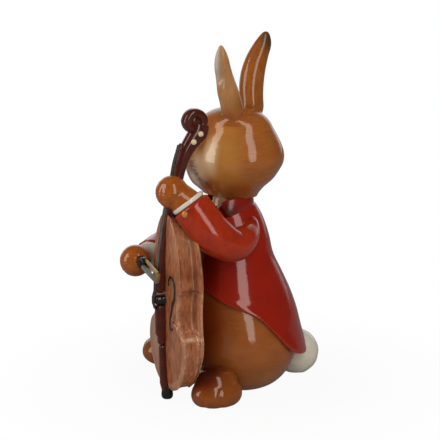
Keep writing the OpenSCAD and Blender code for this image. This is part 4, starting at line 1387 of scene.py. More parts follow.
@dataclass
class Paw(SubAssembly):
    """A mitten paw: a ball with soft grooves between its fingers and a fold before the back of the hand.
    Heights and depths are shares of its radius."""

    side: Side
    centre: Point
    r: float
    wrist: Point
    wrist_r: float
    fold_degrees: float = -60.0
    finger_degrees: float = -110.0
    groove_heights: tuple[float, ...] = (-0.42, 0.04, 0.5)
    groove_spread: float = 0.07
    groove_depth: float = 0.035
    finger_height: float = 0.46
    finger_middle: float = 0.04
    finger_rise: float = 0.012
    finger_power: float = 0.8
    fold_spread: float = 9.0
    fold_height: float = 0.85
    fold_depth: float = 0.04
    wrist_rings: int = 24
    grain: float = 0.28
    rounds: int = 5

    def build(self) -> None:
        """Builds the paw as a ball whose radius dips in grooves, and a wrist that reaches into the cuff."""
        d = directions(rows=96, around=128)
        height = d[..., 2]
        angle = np.degrees(np.arctan2(d[..., 1], d[..., 0]))
        front = np.clip(np.cos(np.radians(angle - self.finger_degrees)), 0, 1) ** self.finger_power
        grooves = sum(hump(height - middle, self.groove_spread) for middle in self.groove_heights)
        fold = hump(angle - self.fold_degrees, self.fold_spread)
        fold = fold * np.clip(1 - (height / self.fold_height) ** 2, 0, 1)
        fingers = np.cos(FULL_TURN * (height - self.finger_middle) / self.finger_height) * front
        dips = self.groove_depth * grooves * front + self.fold_depth * fold
        reach = self.r * (1 - dips + self.finger_rise * fingers)
        grid = np.asarray(self.centre) + d * reach[..., None]
        s = np.linspace(0, 1, self.wrist_rings)[:, None]
        path = np.asarray(self.wrist) * (1 - s) + np.asarray(self.centre) * s
        arm = sweep(path, self.wrist_r, self.wrist_r, ARM_SIDE)
        side = self.side.label
        made = fused(f"{side}_paw_mitten", [Shell(grid), Shell(arm)], self.grain, self.rounds)
        self.place(made, f"{side}_paw", "fur_glaze", self.palette.paw)


@dataclass
class Foot(SubAssembly):
    """A foot with three toes in front and an instep that rises to the haunch. Its shares are of its half
    width, half length and height."""

    side: Side
    reach: float
    turn: float
    toes: float
    forward: float = 19.2
    half_length: float = 10.8
    half_width: float = 9.0
    height: float = 14.0
    clear: float = 0.05
    middle: float = 0.27
    top_share: float = 0.48
    sole_share: float = 0.4
    boxiness: float = -0.34
    ankle_share: float = 0.06
    ankle_aside: float = -0.15
    ankle_middle: float = 0.5
    ankle_width: float = 0.96
    ankle_height: float = 0.53
    toe_share: float = 0.3
    groove_spread: float = 0.085
    groove_depth: float = 0.055
    groove_power: float = 0.7
    grain: float = 0.3
    rounds: int = 14

    def build(self) -> None:
        """Builds the foot: a low dome with a flat sole, whose points draw in along two grooves between the
        toes, joined to the dome of the instep."""
        w, n, h = self.half_width, self.half_length, self.height
        d = directions(rows=110, around=160)
        x, y, z = d[..., 0], d[..., 1], d[..., 2]
        level = np.sqrt(1 - z**2) ** self.boxiness
        c, s = np.cos(np.radians(self.toes)), np.sin(np.radians(self.toes))
        across = x * c + y * s
        ahead = np.clip(x * s - y * c, 0, 1) ** self.groove_power
        grooves = sum(hump(across - side * self.toe_share, self.groove_spread) for side in (-1, 1)) * ahead
        inwards = 1 - self.groove_depth * grooves * np.clip(1 - z, 0, 1)
        rise = np.where(z > 0, self.top_share, self.sole_share) * h
        sole = d * points(w * level, n * level, rise) * inwards[..., None]
        sole += [0, 0, h * self.middle]
        instep = d * points(w * self.ankle_width * level, w * level, h * self.ankle_height)
        instep += [w * self.ankle_aside, n * self.ankle_share, h * self.ankle_middle]
        shells = []
        for grid in (sole, instep):
            grid[..., 2] = np.maximum(grid[..., 2], self.clear)
            placed = turned(grid * [self.side, 1, 1], self.side * self.turn)
            shells.append(Shell(placed + [self.side * self.reach, -self.forward, 0]))
        side = self.side.label
        made = fused(f"{side}_foot_casting", shells, self.grain, self.rounds)
        self.place(made, f"{side}_foot", "fur_glaze", self.palette.foot)


@dataclass
class Tail(SubAssembly):
    """The round tail behind the body, whose surface waves a little like tufts of fur."""

    centre: Point = (0.0, 29.1, 8.43)
    r: float = 9.8
    tuft_rise: float = 0.012
    tufts_around: int = 5
    tuft_slant: float = 3.0
    tuft_rows: float = 4.0

    def build(self) -> None:
        """Builds the tail as a ball whose radius waves round it and up it, flat where it meets the floor."""
        d = directions(rows=96, around=128)
        angle = np.arctan2(d[..., 1], d[..., 0])
        slant = np.sin(self.tufts_around * angle + self.tuft_slant * d[..., 2])
        tufts = self.tuft_rise * slant * np.cos(self.tuft_rows * d[..., 2] + angle)
        grid = np.asarray(self.centre) + d * (self.r * (1 + tufts))[..., None]
        grid[..., 2] = np.maximum(grid[..., 2], 0)
        self.make("tail_ball", [Shell(grid)], "tail", "cream_glaze", self.palette.tail)


@dataclass
class BassBody(SubAssembly):
    """The bass's body: an arched front with bouts and a waist, an arched oval back, and ribs between them.
    Outlines are rows of half width and height, and arches of place and rise, as shares of its sizes."""

    side: float = 10.0
    base: float = 4.4
    length: float = 73.0
    half_width: float = 18.0
    back_y: float = -26.9
    front_y: float = -35.5
    arch_rise: float = 1.2
    least_width: float = 0.001
    lip: float = 0.85
    lip_reach: float = 1.2
    lip_share: float = 0.982
    lip_steps: int = 9
    rib_share: float = 0.978
    rib_hollow: float = 0.004
    rib_steps: int = 26
    # Where the ribs go over from the back's outline to the front's.
    change: tuple[float, float] = (0.04, 0.26)
    plate_start: float = 0.03
    plate_end: float = 0.9
    plate_steps: int = 26
    plate_last: tuple[float, ...] = (0.94, 0.965, 0.98)
    # Rubbed edges, which also carry painted highlights: their numbers at both lips, at the front's rim, and
    # how far they spread over the ribs.
    back_lip_wear_and_highlight: float = 0.9
    front_lip_wear_and_highlight: float = 1.0
    front_rim: float = 0.93
    front_rim_wear_and_highlight: float = 0.8
    rib_wear_and_highlight: float = 0.5
    rib_wear_and_highlight_spread: float = 0.06
    ridge: float = 0.24
    ridge_wear_and_highlight: float = 0.75
    ridge_spread: float = 0.05
    lower_height: float = 0.6
    upper_wear_and_highlight: float = 0.06
    lower_wear_and_highlight: float = 0.6
    # The lower bout's corners, where the painted highlight is brightest.
    corner_height: float = 0.338
    corner_spread: float = 0.011
    corner_rib_spread: float = 0.009
    corner_wear_and_highlight: float = 1.5
    wear_and_highlight_least: float = 0.02
    # The groove across the upper ribs, painted as a line of shade: its height, spread and strength.
    groove_height: float = 0.6
    groove_spread: float = 0.006
    groove_depth: float = 0.9
    # The front's half outline, in three runs from its lowest to its highest point.
    lower: Rows = ((0, 0), (0.3, 0.007), (0.62, 0.045), (0.87, 0.125), (1, 0.225), (0.99, 0.29),
                   (0.93, 0.335))
    waist: Rows = ((0.88, 0.352), (0.72, 0.385), (0.645, 0.445), (0.64, 0.5), (0.69, 0.56), (0.76, 0.59))
    upper: Rows = ((0.79, 0.605), (0.74, 0.67), (0.68, 0.76), (0.57, 0.86), (0.38, 0.945), (0.22, 0.985),
                   (0, 1))
    bout_steps: int = 60
    waist_steps: int = 44
    # Height and half width of the back.
    back_line: Rows = (
        (0, 0), (0.002, 0.21), (0.05, 0.5), (0.14, 0.8), (0.24, 0.98), (0.31, 1), (0.345, 0.97), (0.42, 0.93),
        (0.5, 0.93), (0.57, 0.965), (0.62, 0.98), (0.7, 0.95), (0.8, 0.84), (0.87, 0.72), (0.95, 0.46),
        (0.985, 0.25), (1, 0),
    )
    arch: Rows = ((0, 1), (0.2, 1), (0.5, 0.9), (0.75, 0.65), (0.93, 0.3), (1, 0))
    hole: Rows = (
        (0.28, 0.611), (0.3, 0.645), (0.41, 0.668), (0.52, 0.65), (0.57, 0.602), (0.53, 0.549),
        (0.44, 0.501), (0.38, 0.453), (0.34, 0.406), (0.39, 0.372), (0.5, 0.386), (0.48, 0.425),
    )
    # A sound hole's half width at its ends, what its middle and its eyes add, and the eyes' spread.
    hole_half: float = 0.45
    hole_swell: float = 0.35
    hole_eyes: tuple[float, float] = (0.35, 0.4)
    hole_eye_spread: float = 0.035
    hole_half_depth: float = 0.22
    hole_out: float = 0.02
    hole_steps: int = 90

    @property
    def front_half(self) -> np.ndarray:
        """Half outline of the front, from its lowest to its highest point."""
        runs = ((self.lower, self.bout_steps), (self.waist, self.waist_steps), (self.upper, self.bout_steps))
        return np.concatenate([row_curve(rows, np.linspace(0, 1, steps)) for rows, steps in runs])

    def outline(self, mix: float, share: float, y: float) -> np.ndarray:
        """A ring between the front's outline and the back's, shrunk about its middle, at a depth.

        Args:
            mix: 0 is the front's outline and 1 the back's.
            share: size of the ring.
            y: its depth.

        Returns:
            The ring's points.
        """
        front = self.front_half
        back = np.stack([line_value(self.back_line, front[:, 1]), front[:, 1]], -1)
        half = front * (1 - mix) + back * mix
        x = self.half_width * half[:, 0] * share
        z = self.length * (half[:, 1] - 0.5) * share + self.base + self.length / 2
        x = np.concatenate([x, -x[-2:0:-1]])
        z = np.concatenate([z, z[-2:0:-1]])
        return points(self.side + x, y, z)

    def plate_y(self, x: np.ndarray, z: np.ndarray) -> np.ndarray:
        """Depth of the arched front at a place: the arch's rise at its share of the way to the outline.

        Args:
            x: places across.
            z: heights.

        Returns:
            The depths.
        """
        middle = self.base + self.length / 2
        front = self.front_half
        edge = np.interp((z - middle) / self.length + 0.5, front[:, 1], front[:, 0]) * self.half_width
        share = np.clip(np.abs(x - self.side) / np.maximum(edge, self.least_width), 0, 1)
        share = np.maximum(share, np.abs(z - middle) / (self.length / 2))
        return self.front_y - self.arch_rise * line_value(self.arch, share)

    def rings(self) -> np.ndarray:
        """The rings from the back's middle over its lip, the ribs and the front's lip to the front's middle.
        A lip is half a circle, and between the ribs' outlines the mix follows a quarter circle.

        Returns:
            One row for each ring: its mix, share and depth, the number of its rubbed edge and painted
                highlight, and 1 on the ribs.
        """
        plate = np.linspace(self.plate_start, self.plate_end, self.plate_steps)
        plate = np.concatenate([plate, self.plate_last])
        arch = self.arch_rise * line_value(self.arch, plate)
        half = self.lip / 2
        phi = np.linspace(np.pi / 2, -np.pi / 2, self.lip_steps)
        lip = self.lip_share + (1 - self.lip_share) * np.cos(phi)
        s = np.linspace(0, 1, self.rib_steps)
        low, high = self.back_y - self.lip * self.lip_reach, self.front_y + self.lip * self.lip_reach
        mix = 1 - rounded(ramp(s, self.change))
        ends = hump(s, self.rib_wear_and_highlight_spread) + hump(1 - s, self.rib_wear_and_highlight_spread)
        wear_and_painted_light = self.rib_wear_and_highlight * ends + self.ridge_wear_and_highlight * hump(s - self.ridge, self.ridge_spread)
        rim = np.where(plate > self.front_rim, self.front_rim_wear_and_highlight, 0)
        runs = (
            (1, plate, self.back_y + arch, 0, 0),
            (1, lip, self.back_y - half + half * np.sin(phi), self.back_lip_wear_and_highlight, 0),
            (mix, self.rib_share - self.rib_hollow * np.sin(np.pi * s), low + (high - low) * s, wear_and_painted_light, 1),
            (0, lip, self.front_y + half + half * np.sin(phi), self.front_lip_wear_and_highlight, 0),
            (0, plate[::-1], (self.front_y - arch)[::-1], rim[::-1], 0),
        )
        return np.concatenate([np.stack(np.broadcast_arrays(*run), -1) for run in runs])

    def build(self) -> None:
        """Builds the body and carries along how near each point is to a rubbed edge with its painted
        highlight, to a corner of the waist, where that highlight is brightest, and to the groove across the
        upper ribs, which is painted shade."""
        rows = self.rings()
        grid = np.stack([self.outline(mix, share, y) for mix, share, y, _, _ in rows])
        wear_and_painted_light, ribs = rows[:, 3:4], rows[:, 4:5]
        height = (grid[..., 2] - self.base) / self.length
        away = height - self.corner_height
        corner = hump(away, self.corner_spread) * (wear_and_painted_light > self.wear_and_highlight_least)
        corner = np.maximum(corner, hump(away, self.corner_rib_spread) * ribs)
        edge = wear_and_painted_light * (self.upper_wear_and_highlight + self.lower_wear_and_highlight * (height < self.lower_height))
        edge = np.maximum(edge, self.corner_wear_and_highlight * corner)
        # Painted shade along the groove across the upper ribs.
        groove = hump(height - self.groove_height, self.groove_spread) * ribs * self.groove_depth
        shell = Shell(grid, carried={"edge": edge, "groove": groove})
        self.make("bass_body_casting", [shell], "bass_body", "bass_glaze", self.palette.bass)
        self.build_holes()

    def build_holes(self) -> None:
        """Builds both sound holes: curved strokes that swell in the middle and end in round eyes."""
        s = np.linspace(0, 1, self.hole_steps)
        shape = row_curve(self.hole, s)
        first, last = self.hole_eyes
        swell = self.hole_swell * np.sin(np.pi * s) + first * hump(s, self.hole_eye_spread)
        width = self.hole_half + swell + last * hump(1 - s, self.hole_eye_spread)
        closing = rounded_ends(self.hole_steps, share=0.02, least=0.2)
        shells = []
        for side in (-1, 1):
            x = self.side + side * self.half_width * shape[:, 0]
            z = self.base + self.length * shape[:, 1]
            path = points(x, self.plate_y(x, z) - self.hole_out, z)
            stroke = sweep(path, width * closing, self.hole_half_depth * closing, ALONG_X, around=20)
            shells.append(Shell(stroke))
        self.make("sound_hole_strokes", shells, "f_holes", "black_glaze", self.palette.sound_hole)


@dataclass
class BassNeck(SubAssembly):
    """The fingerboard, strings, neck, scroll and pegs, which all follow the fingerboard's front line. Places
    up the neck are shares of its length, and places back are shares of the nut's setback."""

    side: float = 10.0
    board_front_y: float = -40.2
    board_start: float = 45.28
    bass_top: float = 77.4
    length: float = 27.6
    setback: float = 11.4
    board_half: float = 1.8
    depth: float = 4.4
    # Thickness of the fingerboard over the bass and along the neck.
    board_free: float = 3.6
    board_glued: float = 2.1
    board_reach: int = 6
    board_power: float = 4.5
    board_steps: int = 90
    neck_power: float = 2.6
    neck_steps: int = 110
    string_r: float = 0.26
    string_width: float = 1.15
    string_out: float = 0.2
    spacing: float = 0.66
    strings: tuple[float, ...] = (-1.5, -0.5, 0.5, 1.5)
    bridge_z: float = 42.36
    bridge_crest: float = -40.97
    crest_half: float = 1.2
    string_foot: float = 3.7
    string_start: float = 0.8
    string_end: float = 0.6
    string_steps: int = 80
    # Place up the fingerboard, of which 1 is the bass's top and 2 the nut, and place back.
    board_line: Rows = ((0, 0), (0.158, 0), (0.465, 0.126), (0.669, 0.194), (0.911, 0.325), (1.134, 0.435),
                        (1.546, 0.671), (1.784, 0.775), (2, 0.995))
    board_window: tuple[float, ...] = (-0.12, -0.04, 0.04, 0.12)
    # Place up and back, half depth and half width of the neck and pegbox.
    neck_rows: Rows = ((-0.116, 0.702, 0.68, 0.68), (0.239, 0.775, 0.5, 0.66), (0.58, 0.92, 0.5, 0.66),
                       (0.864, 1.167, 0.61, 0.75), (1.036, 1.453, 0.75, 0.83), (1.143, 1.67, 0.86, 0.85),
                       (1.263, 1.743, 0.8, 0.8))
    scroll_place: tuple[float, float] = (1.315, 1.539)
    # The scroll's turn in degrees, its radius in rows of degrees and mm, its band in rows of share and mm.
    scroll_turn: tuple[float, float] = (-60.0, 262.0)
    scroll_radii: Rows = ((-60, 3.3), (0, 3.1), (90, 3.1), (180, 3.6), (262, 3.3))
    scroll_thickness: Rows = ((0, 2.2), (0.4, 1.85), (0.8, 1.9), (1, 1.9))
    scroll_half: Rows = ((0, 2.9), (0.5, 3.0), (1, 2.7))
    scroll_end: float = 0.12
    scroll_least: float = 0.05
    scroll_steps: int = 150
    # The eye of the scroll: rows of share of its half length and share of its radius.
    eye_rows: Rows = ((-1, 0.3), (-0.97, 0.6), (-0.85, 0.85), (-0.5, 1), (0.5, 1), (0.85, 0.85), (0.97, 0.6),
                      (1, 0.3))
    eye_half: float = 2.0
    eye_r: float = 2.3
    pegs: Rows = ((1.138, 1.641), (1.029, 1.378))
    peg_r: float = 1.15
    peg_share: float = 0.85
    peg_out: float = 1.72

    def board_y(self, z: np.ndarray) -> np.ndarray:
        """Front of the fingerboard: a line through the shares of the nut's setback, made smooth by the mean
        of four places near each height.

        Args:
            z: heights.

        Returns:
            The depths.
        """
        over_bass = (z - self.board_start) / (self.bass_top - self.board_start)
        run = np.where(z < self.bass_top, over_bass, 1 + (z - self.bass_top) / self.length)
        near = [line_value(self.board_line, run + step) for step in self.board_window]
        return self.board_front_y + self.setback * sum(near) / len(near)

    def build(self) -> None:
        """Builds the pieces from the fingerboard up to the scroll."""
        z = np.linspace(self.board_start, self.bass_top + self.length, self.board_steps)
        depth = np.where(z < self.bass_top - self.depth, self.board_free, self.board_glued)
        depth = averaged(depth, self.board_reach)
        path = points(self.side, self.board_y(z) + depth / 2, z)
        closing = rounded_ends(self.board_steps, share=0.02, least=0.6)
        half = self.board_half * closing
        bar = Shell(sweep(path, half, depth / 2 * closing, ALONG_X, power=self.board_power))
        self.make("fingerboard_bar", [bar], "fingerboard", "dark_wood_glaze", self.palette.dark_wood)
        self.build_neck()
        self.build_scroll()
        self.build_pegs()
        self.build_strings()

    def neck_point(self, rise: np.ndarray | float, back: np.ndarray | float) -> np.ndarray:
        """Points from places up the neck and back from the fingerboard's front."""
        return points(self.side, self.board_front_y + self.setback * back, self.bass_top + self.length * rise)

    def build_neck(self) -> None:
        """Builds the neck and pegbox: ovals along a bent line."""
        rows = row_curve(self.neck_rows, np.linspace(0, 1, self.neck_steps))
        path = self.neck_point(rows[:, 0], rows[:, 1])
        half = self.board_half * 2 * rows[:, 3]
        neck = Shell(sweep(path, half, self.depth * rows[:, 2], ALONG_X, around=72, power=self.neck_power))
        self.make("neck_and_pegbox", [neck], "bass_neck", "dark_wood_glaze", self.palette.dark_wood)

    def build_scroll(self) -> None:
        """Builds the scroll: a thick band along a spiral whose middle line's radius changes with its turn,
        and a round eye inside it."""
        centre = self.neck_point(*self.scroll_place)
        start, end = self.scroll_turn
        turn = np.linspace(start, end, self.scroll_steps)
        share = (turn - start) / (end - start)
        radius = line_value(self.scroll_radii, turn)
        angle = np.radians(turn)
        path = centre + points(0, radius * np.cos(angle), radius * np.sin(angle))
        closing = np.maximum(rounded((1 - share) / self.scroll_end), self.scroll_least)
        half = line_value(self.scroll_half, share) * closing
        thick = line_value(self.scroll_thickness, share) * closing
        band = sweep(path, half, thick, ALONG_X, around=56, power=self.neck_power)
        x, r = np.array(self.eye_rows).T * [[self.eye_half], [self.eye_r]]
        eye = sweep(centre + points(x, 0, 0), r, r, ALONG_Y)
        shells = [Shell(band), Shell(eye)]
        self.make("scroll_volute", shells, "scroll", "dark_wood_glaze", self.palette.dark_wood)

    def build_pegs(self) -> None:
        """Builds the four tuning pegs as flattened beads on the pegbox's two sides."""
        shells = []
        radii = (self.peg_r * self.peg_share, self.peg_r, self.peg_r)
        for rise, back in self.pegs:
            for side in (-1, 1):
                centre = self.neck_point(rise, back) + [side * self.board_half * self.peg_out, 0, 0]
                shells.append(Shell(ball(centre, radii, rows=24, around=32)))
        self.make("tuning_peg_beads", shells, "tuning_pegs", "cream_glaze", self.palette.peg)

    def build_strings(self) -> None:
        """Builds the four strings as thin ridges over the bridge and up the fingerboard."""
        foot, crest = self.string_foot, self.crest_half
        nut = self.bass_top + self.length
        over_bridge = self.bridge_z + np.array([-foot, -crest, crest])
        up_neck = np.linspace(self.board_start + self.string_start, nut - self.string_end, self.string_steps)
        z = np.concatenate([over_bridge, up_neck])
        y = self.board_y(z)
        y[:len(over_bridge)] = [self.board_front_y, self.bridge_crest, self.bridge_crest]
        shells = []
        for place in self.strings:
            path = points(self.side + self.spacing * place, y - self.string_out, z)
            ridge = sweep(path, self.string_r * self.string_width, self.string_r, ALONG_X, around=14)
            shells.append(Shell(ridge))
        self.make("string_ridges", shells, "strings", "grey_glaze", self.palette.grey)


@dataclass
class BassFittings(SubAssembly):
    """The bridge, tailpiece, the ridge below it and the end pin. A bar's rows are its height, its front's
    depth, how far its back lies inside the bass, and its half width."""

    side: float = 10.0
    front_y: float = -35.5
    plate_y: float = -36.7
    bridge_z: float = 42.36
    bridge_half: float = 3.0
    bridge_height: float = 4.2
    bridge_thickness: float = 3.78
    bridge_sunk: float = 0.3
    # Rows of the share of the bridge's height and the share of its width or thickness.
    bridge_widths: Rows = ((-0.1, 1), (0, 1), (0.25, 0.86), (0.55, 0.82), (0.8, 0.76), (1, 0.35))
    bridge_depths: Rows = ((-0.1, 0.95), (0.5, 1), (0.85, 0.9), (1, 0.45))
    base: float = 4.4
    length: float = 73.0
    tailpiece_share: float = 0.26
    tailpiece_gap: float = 0.05
    # Heights above the tailpiece's low end, but for the last row, which is at the bridge.
    tailpiece_rows: Rows = ((0, -38.6, 0, 1.25), (1.2, -39.4, 0, 1.5), (4.2, -39.5, 0, 1.6),
                            (4.9, -40.2, 0, 1.75))
    tailpiece_top: tuple[float, float, float] = (-40.3, 0, 1.9)
    # Heights above the bass's base, but for the last row, which is inside the tailpiece.
    ridge_rows: Rows = ((-2, -37.3, 0.4, 1.5), (2.5, -38.5, 0.6, 1.45))
    ridge_top: tuple[float, float, float] = (-38.9, 0.6, 1.35)
    ridge_overlap: float = 0.1
    bar_end: float = 0.06
    bar_least: float = 0.35
    bar_power: float = 3.2
    pin_r: float = 2.4
    pin_length: float = 4.4
    pin_sunk: float = 1.2
    # Rows of the share of the pin's length and the share of its radius.
    pin_rows: Rows = ((0, 0.55), (0.04, 0.75), (0.12, 0.9), (0.3, 1), (0.5, 1), (0.75, 0.95), (1, 0.88),
                      (1.3, 0.8))
    bar_steps: int = 60
    bridge_steps: int = 40
    pin_steps: int = 30

    def bar(self, rows: Sequence) -> np.ndarray:
        """A bar on the front of the bass.

        Args:
            rows: its rows, from its low end to its high end.

        Returns:
            The bar's grid, whose ends are rounded.
        """
        table = np.asarray(rows, float)
        z = np.linspace(table[0, 0], table[-1, 0], self.bar_steps)
        front, sunk, half = (np.interp(z, table[:, 0], table[:, i]) for i in (1, 2, 3))
        back = self.front_y + sunk
        path = points(self.side, (front + back) / 2, z)
        closing = rounded_ends(self.bar_steps, self.bar_end, self.bar_least)
        return sweep(path, half * closing, (back - front) / 2 * closing, ALONG_X, power=self.bar_power)

    def build(self) -> None:
        """Builds the fittings from the bridge down to the floor."""
        y = np.linspace(self.bridge_sunk, -self.bridge_height, self.bridge_steps)
        share = -y / self.bridge_height
        width = self.bridge_half * line_value(self.bridge_widths, share)
        thick = self.bridge_thickness / 2 * line_value(self.bridge_depths, share)
        path = points(self.side, self.plate_y + y, self.bridge_z)
        block = Shell(sweep(path, width, thick, ALONG_X, power=3))
        self.make("bridge_block", [block], "bridge", "black_glaze", self.palette.black)
        top = self.bridge_z - self.bridge_thickness / 2 - self.tailpiece_gap
        low = self.base + self.length * self.tailpiece_share
        rows = [(low + rise, *row) for rise, *row in self.tailpiece_rows]
        bar = Shell(self.bar([*rows, (top, *self.tailpiece_top)]))
        self.make("tailpiece_bar", [bar], "tailpiece", "dark_wood_glaze", self.palette.dark_wood)
        rows = [(self.base + rise, *row) for rise, *row in self.ridge_rows]
        ridge = Shell(self.bar([*rows, (low + self.ridge_overlap, *self.ridge_top)]))
        self.make("tail_ridge", [ridge], "tail_gut", "dark_wood_glaze", self.palette.dark_wood)
        z = np.linspace(0, self.pin_length + self.pin_sunk, self.pin_steps)
        r = self.pin_r * line_value(self.pin_rows, z / self.pin_length)
        pin = Shell(sweep(points(self.side, self.front_y, z), r, r, ALONG_X, around=56))
        self.make("end_pin_foot", [pin], "end_pin", "black_glaze", self.palette.black)


@dataclass
class Bow(SubAssembly):
    """The bow in the right paw: frog, stick, hair and the tip's box, in a frame of its own whose +X runs to
    the tip and whose hair lies on the X axis. The frog's eye is placed by shares of half the frog."""

    origin: Point = (10.3, -40.7, 55.3)
    pitch: float = 7.0
    yaw: float = -3.0
    reach: float = 5.94
    overlap: float = 0.4
    stick_sunk: float = 0.3
    frog_x: float = -12.06
    frog: float = 4.4
    frog_share: float = 0.8
    eye_place: Point = (0.2, 0.78, 0.2)
    eye_radii: Point = (0.9, 0.5, 0.9)
    tip_height: float = 3.2
    tip_reach: float = 1.5
    tip_width: float = 1.9
    tip_back: float = 0.1
    stick_r: float = 1.1
    stick_taper: float = 0.2
    hair_width: float = 1.8
    hair_gap: float = 2.9
    block_end: float = 0.14
    block_least: float = 0.6
    block_steps: int = 40
    stick_steps: int = 60

    def placed(self, grid: np.ndarray) -> np.ndarray:
        """Points of the bow's own frame put into the figurine's: pitched about Y, yawed about Z, and moved.

        Args:
            grid: the points.

        Returns:
            The placed points.
        """
        p, w = np.radians(self.pitch), np.radians(self.yaw)
        pitch = np.array([[np.cos(p), 0, np.sin(p)], [0, 1, 0], [-np.sin(p), 0, np.cos(p)]])
        yaw = np.array([[np.cos(w), -np.sin(w), 0], [np.sin(w), np.cos(w), 0], [0, 0, 1]])
        return grid @ (yaw @ pitch).T + np.asarray(self.origin)

    def block(self, low: Point, high: Point, power: float = 6.0) -> Shell:
        """A block with rounded edges, swept along X.

        Args:
            low: its lowest corner.
            high: its highest corner.
            power: squareness of its section.

        Returns:
            The block, placed.
        """
        a, b = np.asarray(low), np.asarray(high)
        s = np.linspace(0, 1, self.block_steps)
        path = points(a[0] + (b[0] - a[0]) * s, (a[1] + b[1]) / 2, (a[2] + b[2]) / 2)
        closing = rounded_ends(self.block_steps, self.block_end, self.block_least)
        half = (b - a) / 2
        return Shell(self.placed(sweep(path, half[1] * closing, half[2] * closing, ALONG_Y, power=power)))

    def build(self) -> None:
        """Builds the bow's four pieces."""
        half = self.frog / 2
        centre = np.array([self.frog_x, -self.stick_r, -self.hair_gap / 2])
        corner = half * np.array([1, self.frog_share, 1])
        eye_centre = centre - half * np.asarray(self.eye_place) * [1, 1, -1]
        eye = Shell(self.placed(ball(eye_centre, self.eye_radii, rows=20, around=28)))
        shells = [self.block(centre - corner, centre + corner), eye]
        self.make("frog_block", shells, "bow_frog", "black_glaze", self.palette.black)
        start = self.frog_x + half - self.stick_sunk
        end = self.reach + self.overlap
        s = np.linspace(0, 1, self.stick_steps)
        path = points(start + (end - start) * s, -self.stick_r, -self.hair_gap)
        r = self.stick_r * (1 - self.stick_taper * s)
        rod = Shell(self.placed(sweep(path, r, r, ALONG_Y, around=36)))
        self.make("bow_stick_rod", [rod], "bow_stick", "grey_glaze", self.palette.silver)
        half = self.hair_width / 2
        hair = self.block((start, -half / 2, -half), (end, 0, half), power=4)
        self.make("hair_band", [hair], "bow_hair", "cream_glaze", self.palette.hair)
        low = (self.reach - self.overlap, -self.stick_r * self.tip_width, half - self.tip_height)
        high = (self.reach + self.stick_r * self.tip_reach, -self.tip_back, half)
        self.make("tip_box", [self.block(low, high)], "bow_tip", "gold_glaze", self.palette.old_gold)


@dataclass(frozen=True)
class Softbox:
    """A rectangular lamp: its name, its direction in degrees, its width and height in mm and its watts."""

    name: str
    azimuth: float
    elevation: float
    size: tuple[float, float]
    power: float
    away: float = 620.0
    looks_at: Point = (0.0, 0.0, 70.0)
    colour: Point = (1.0, 0.93, 0.84)


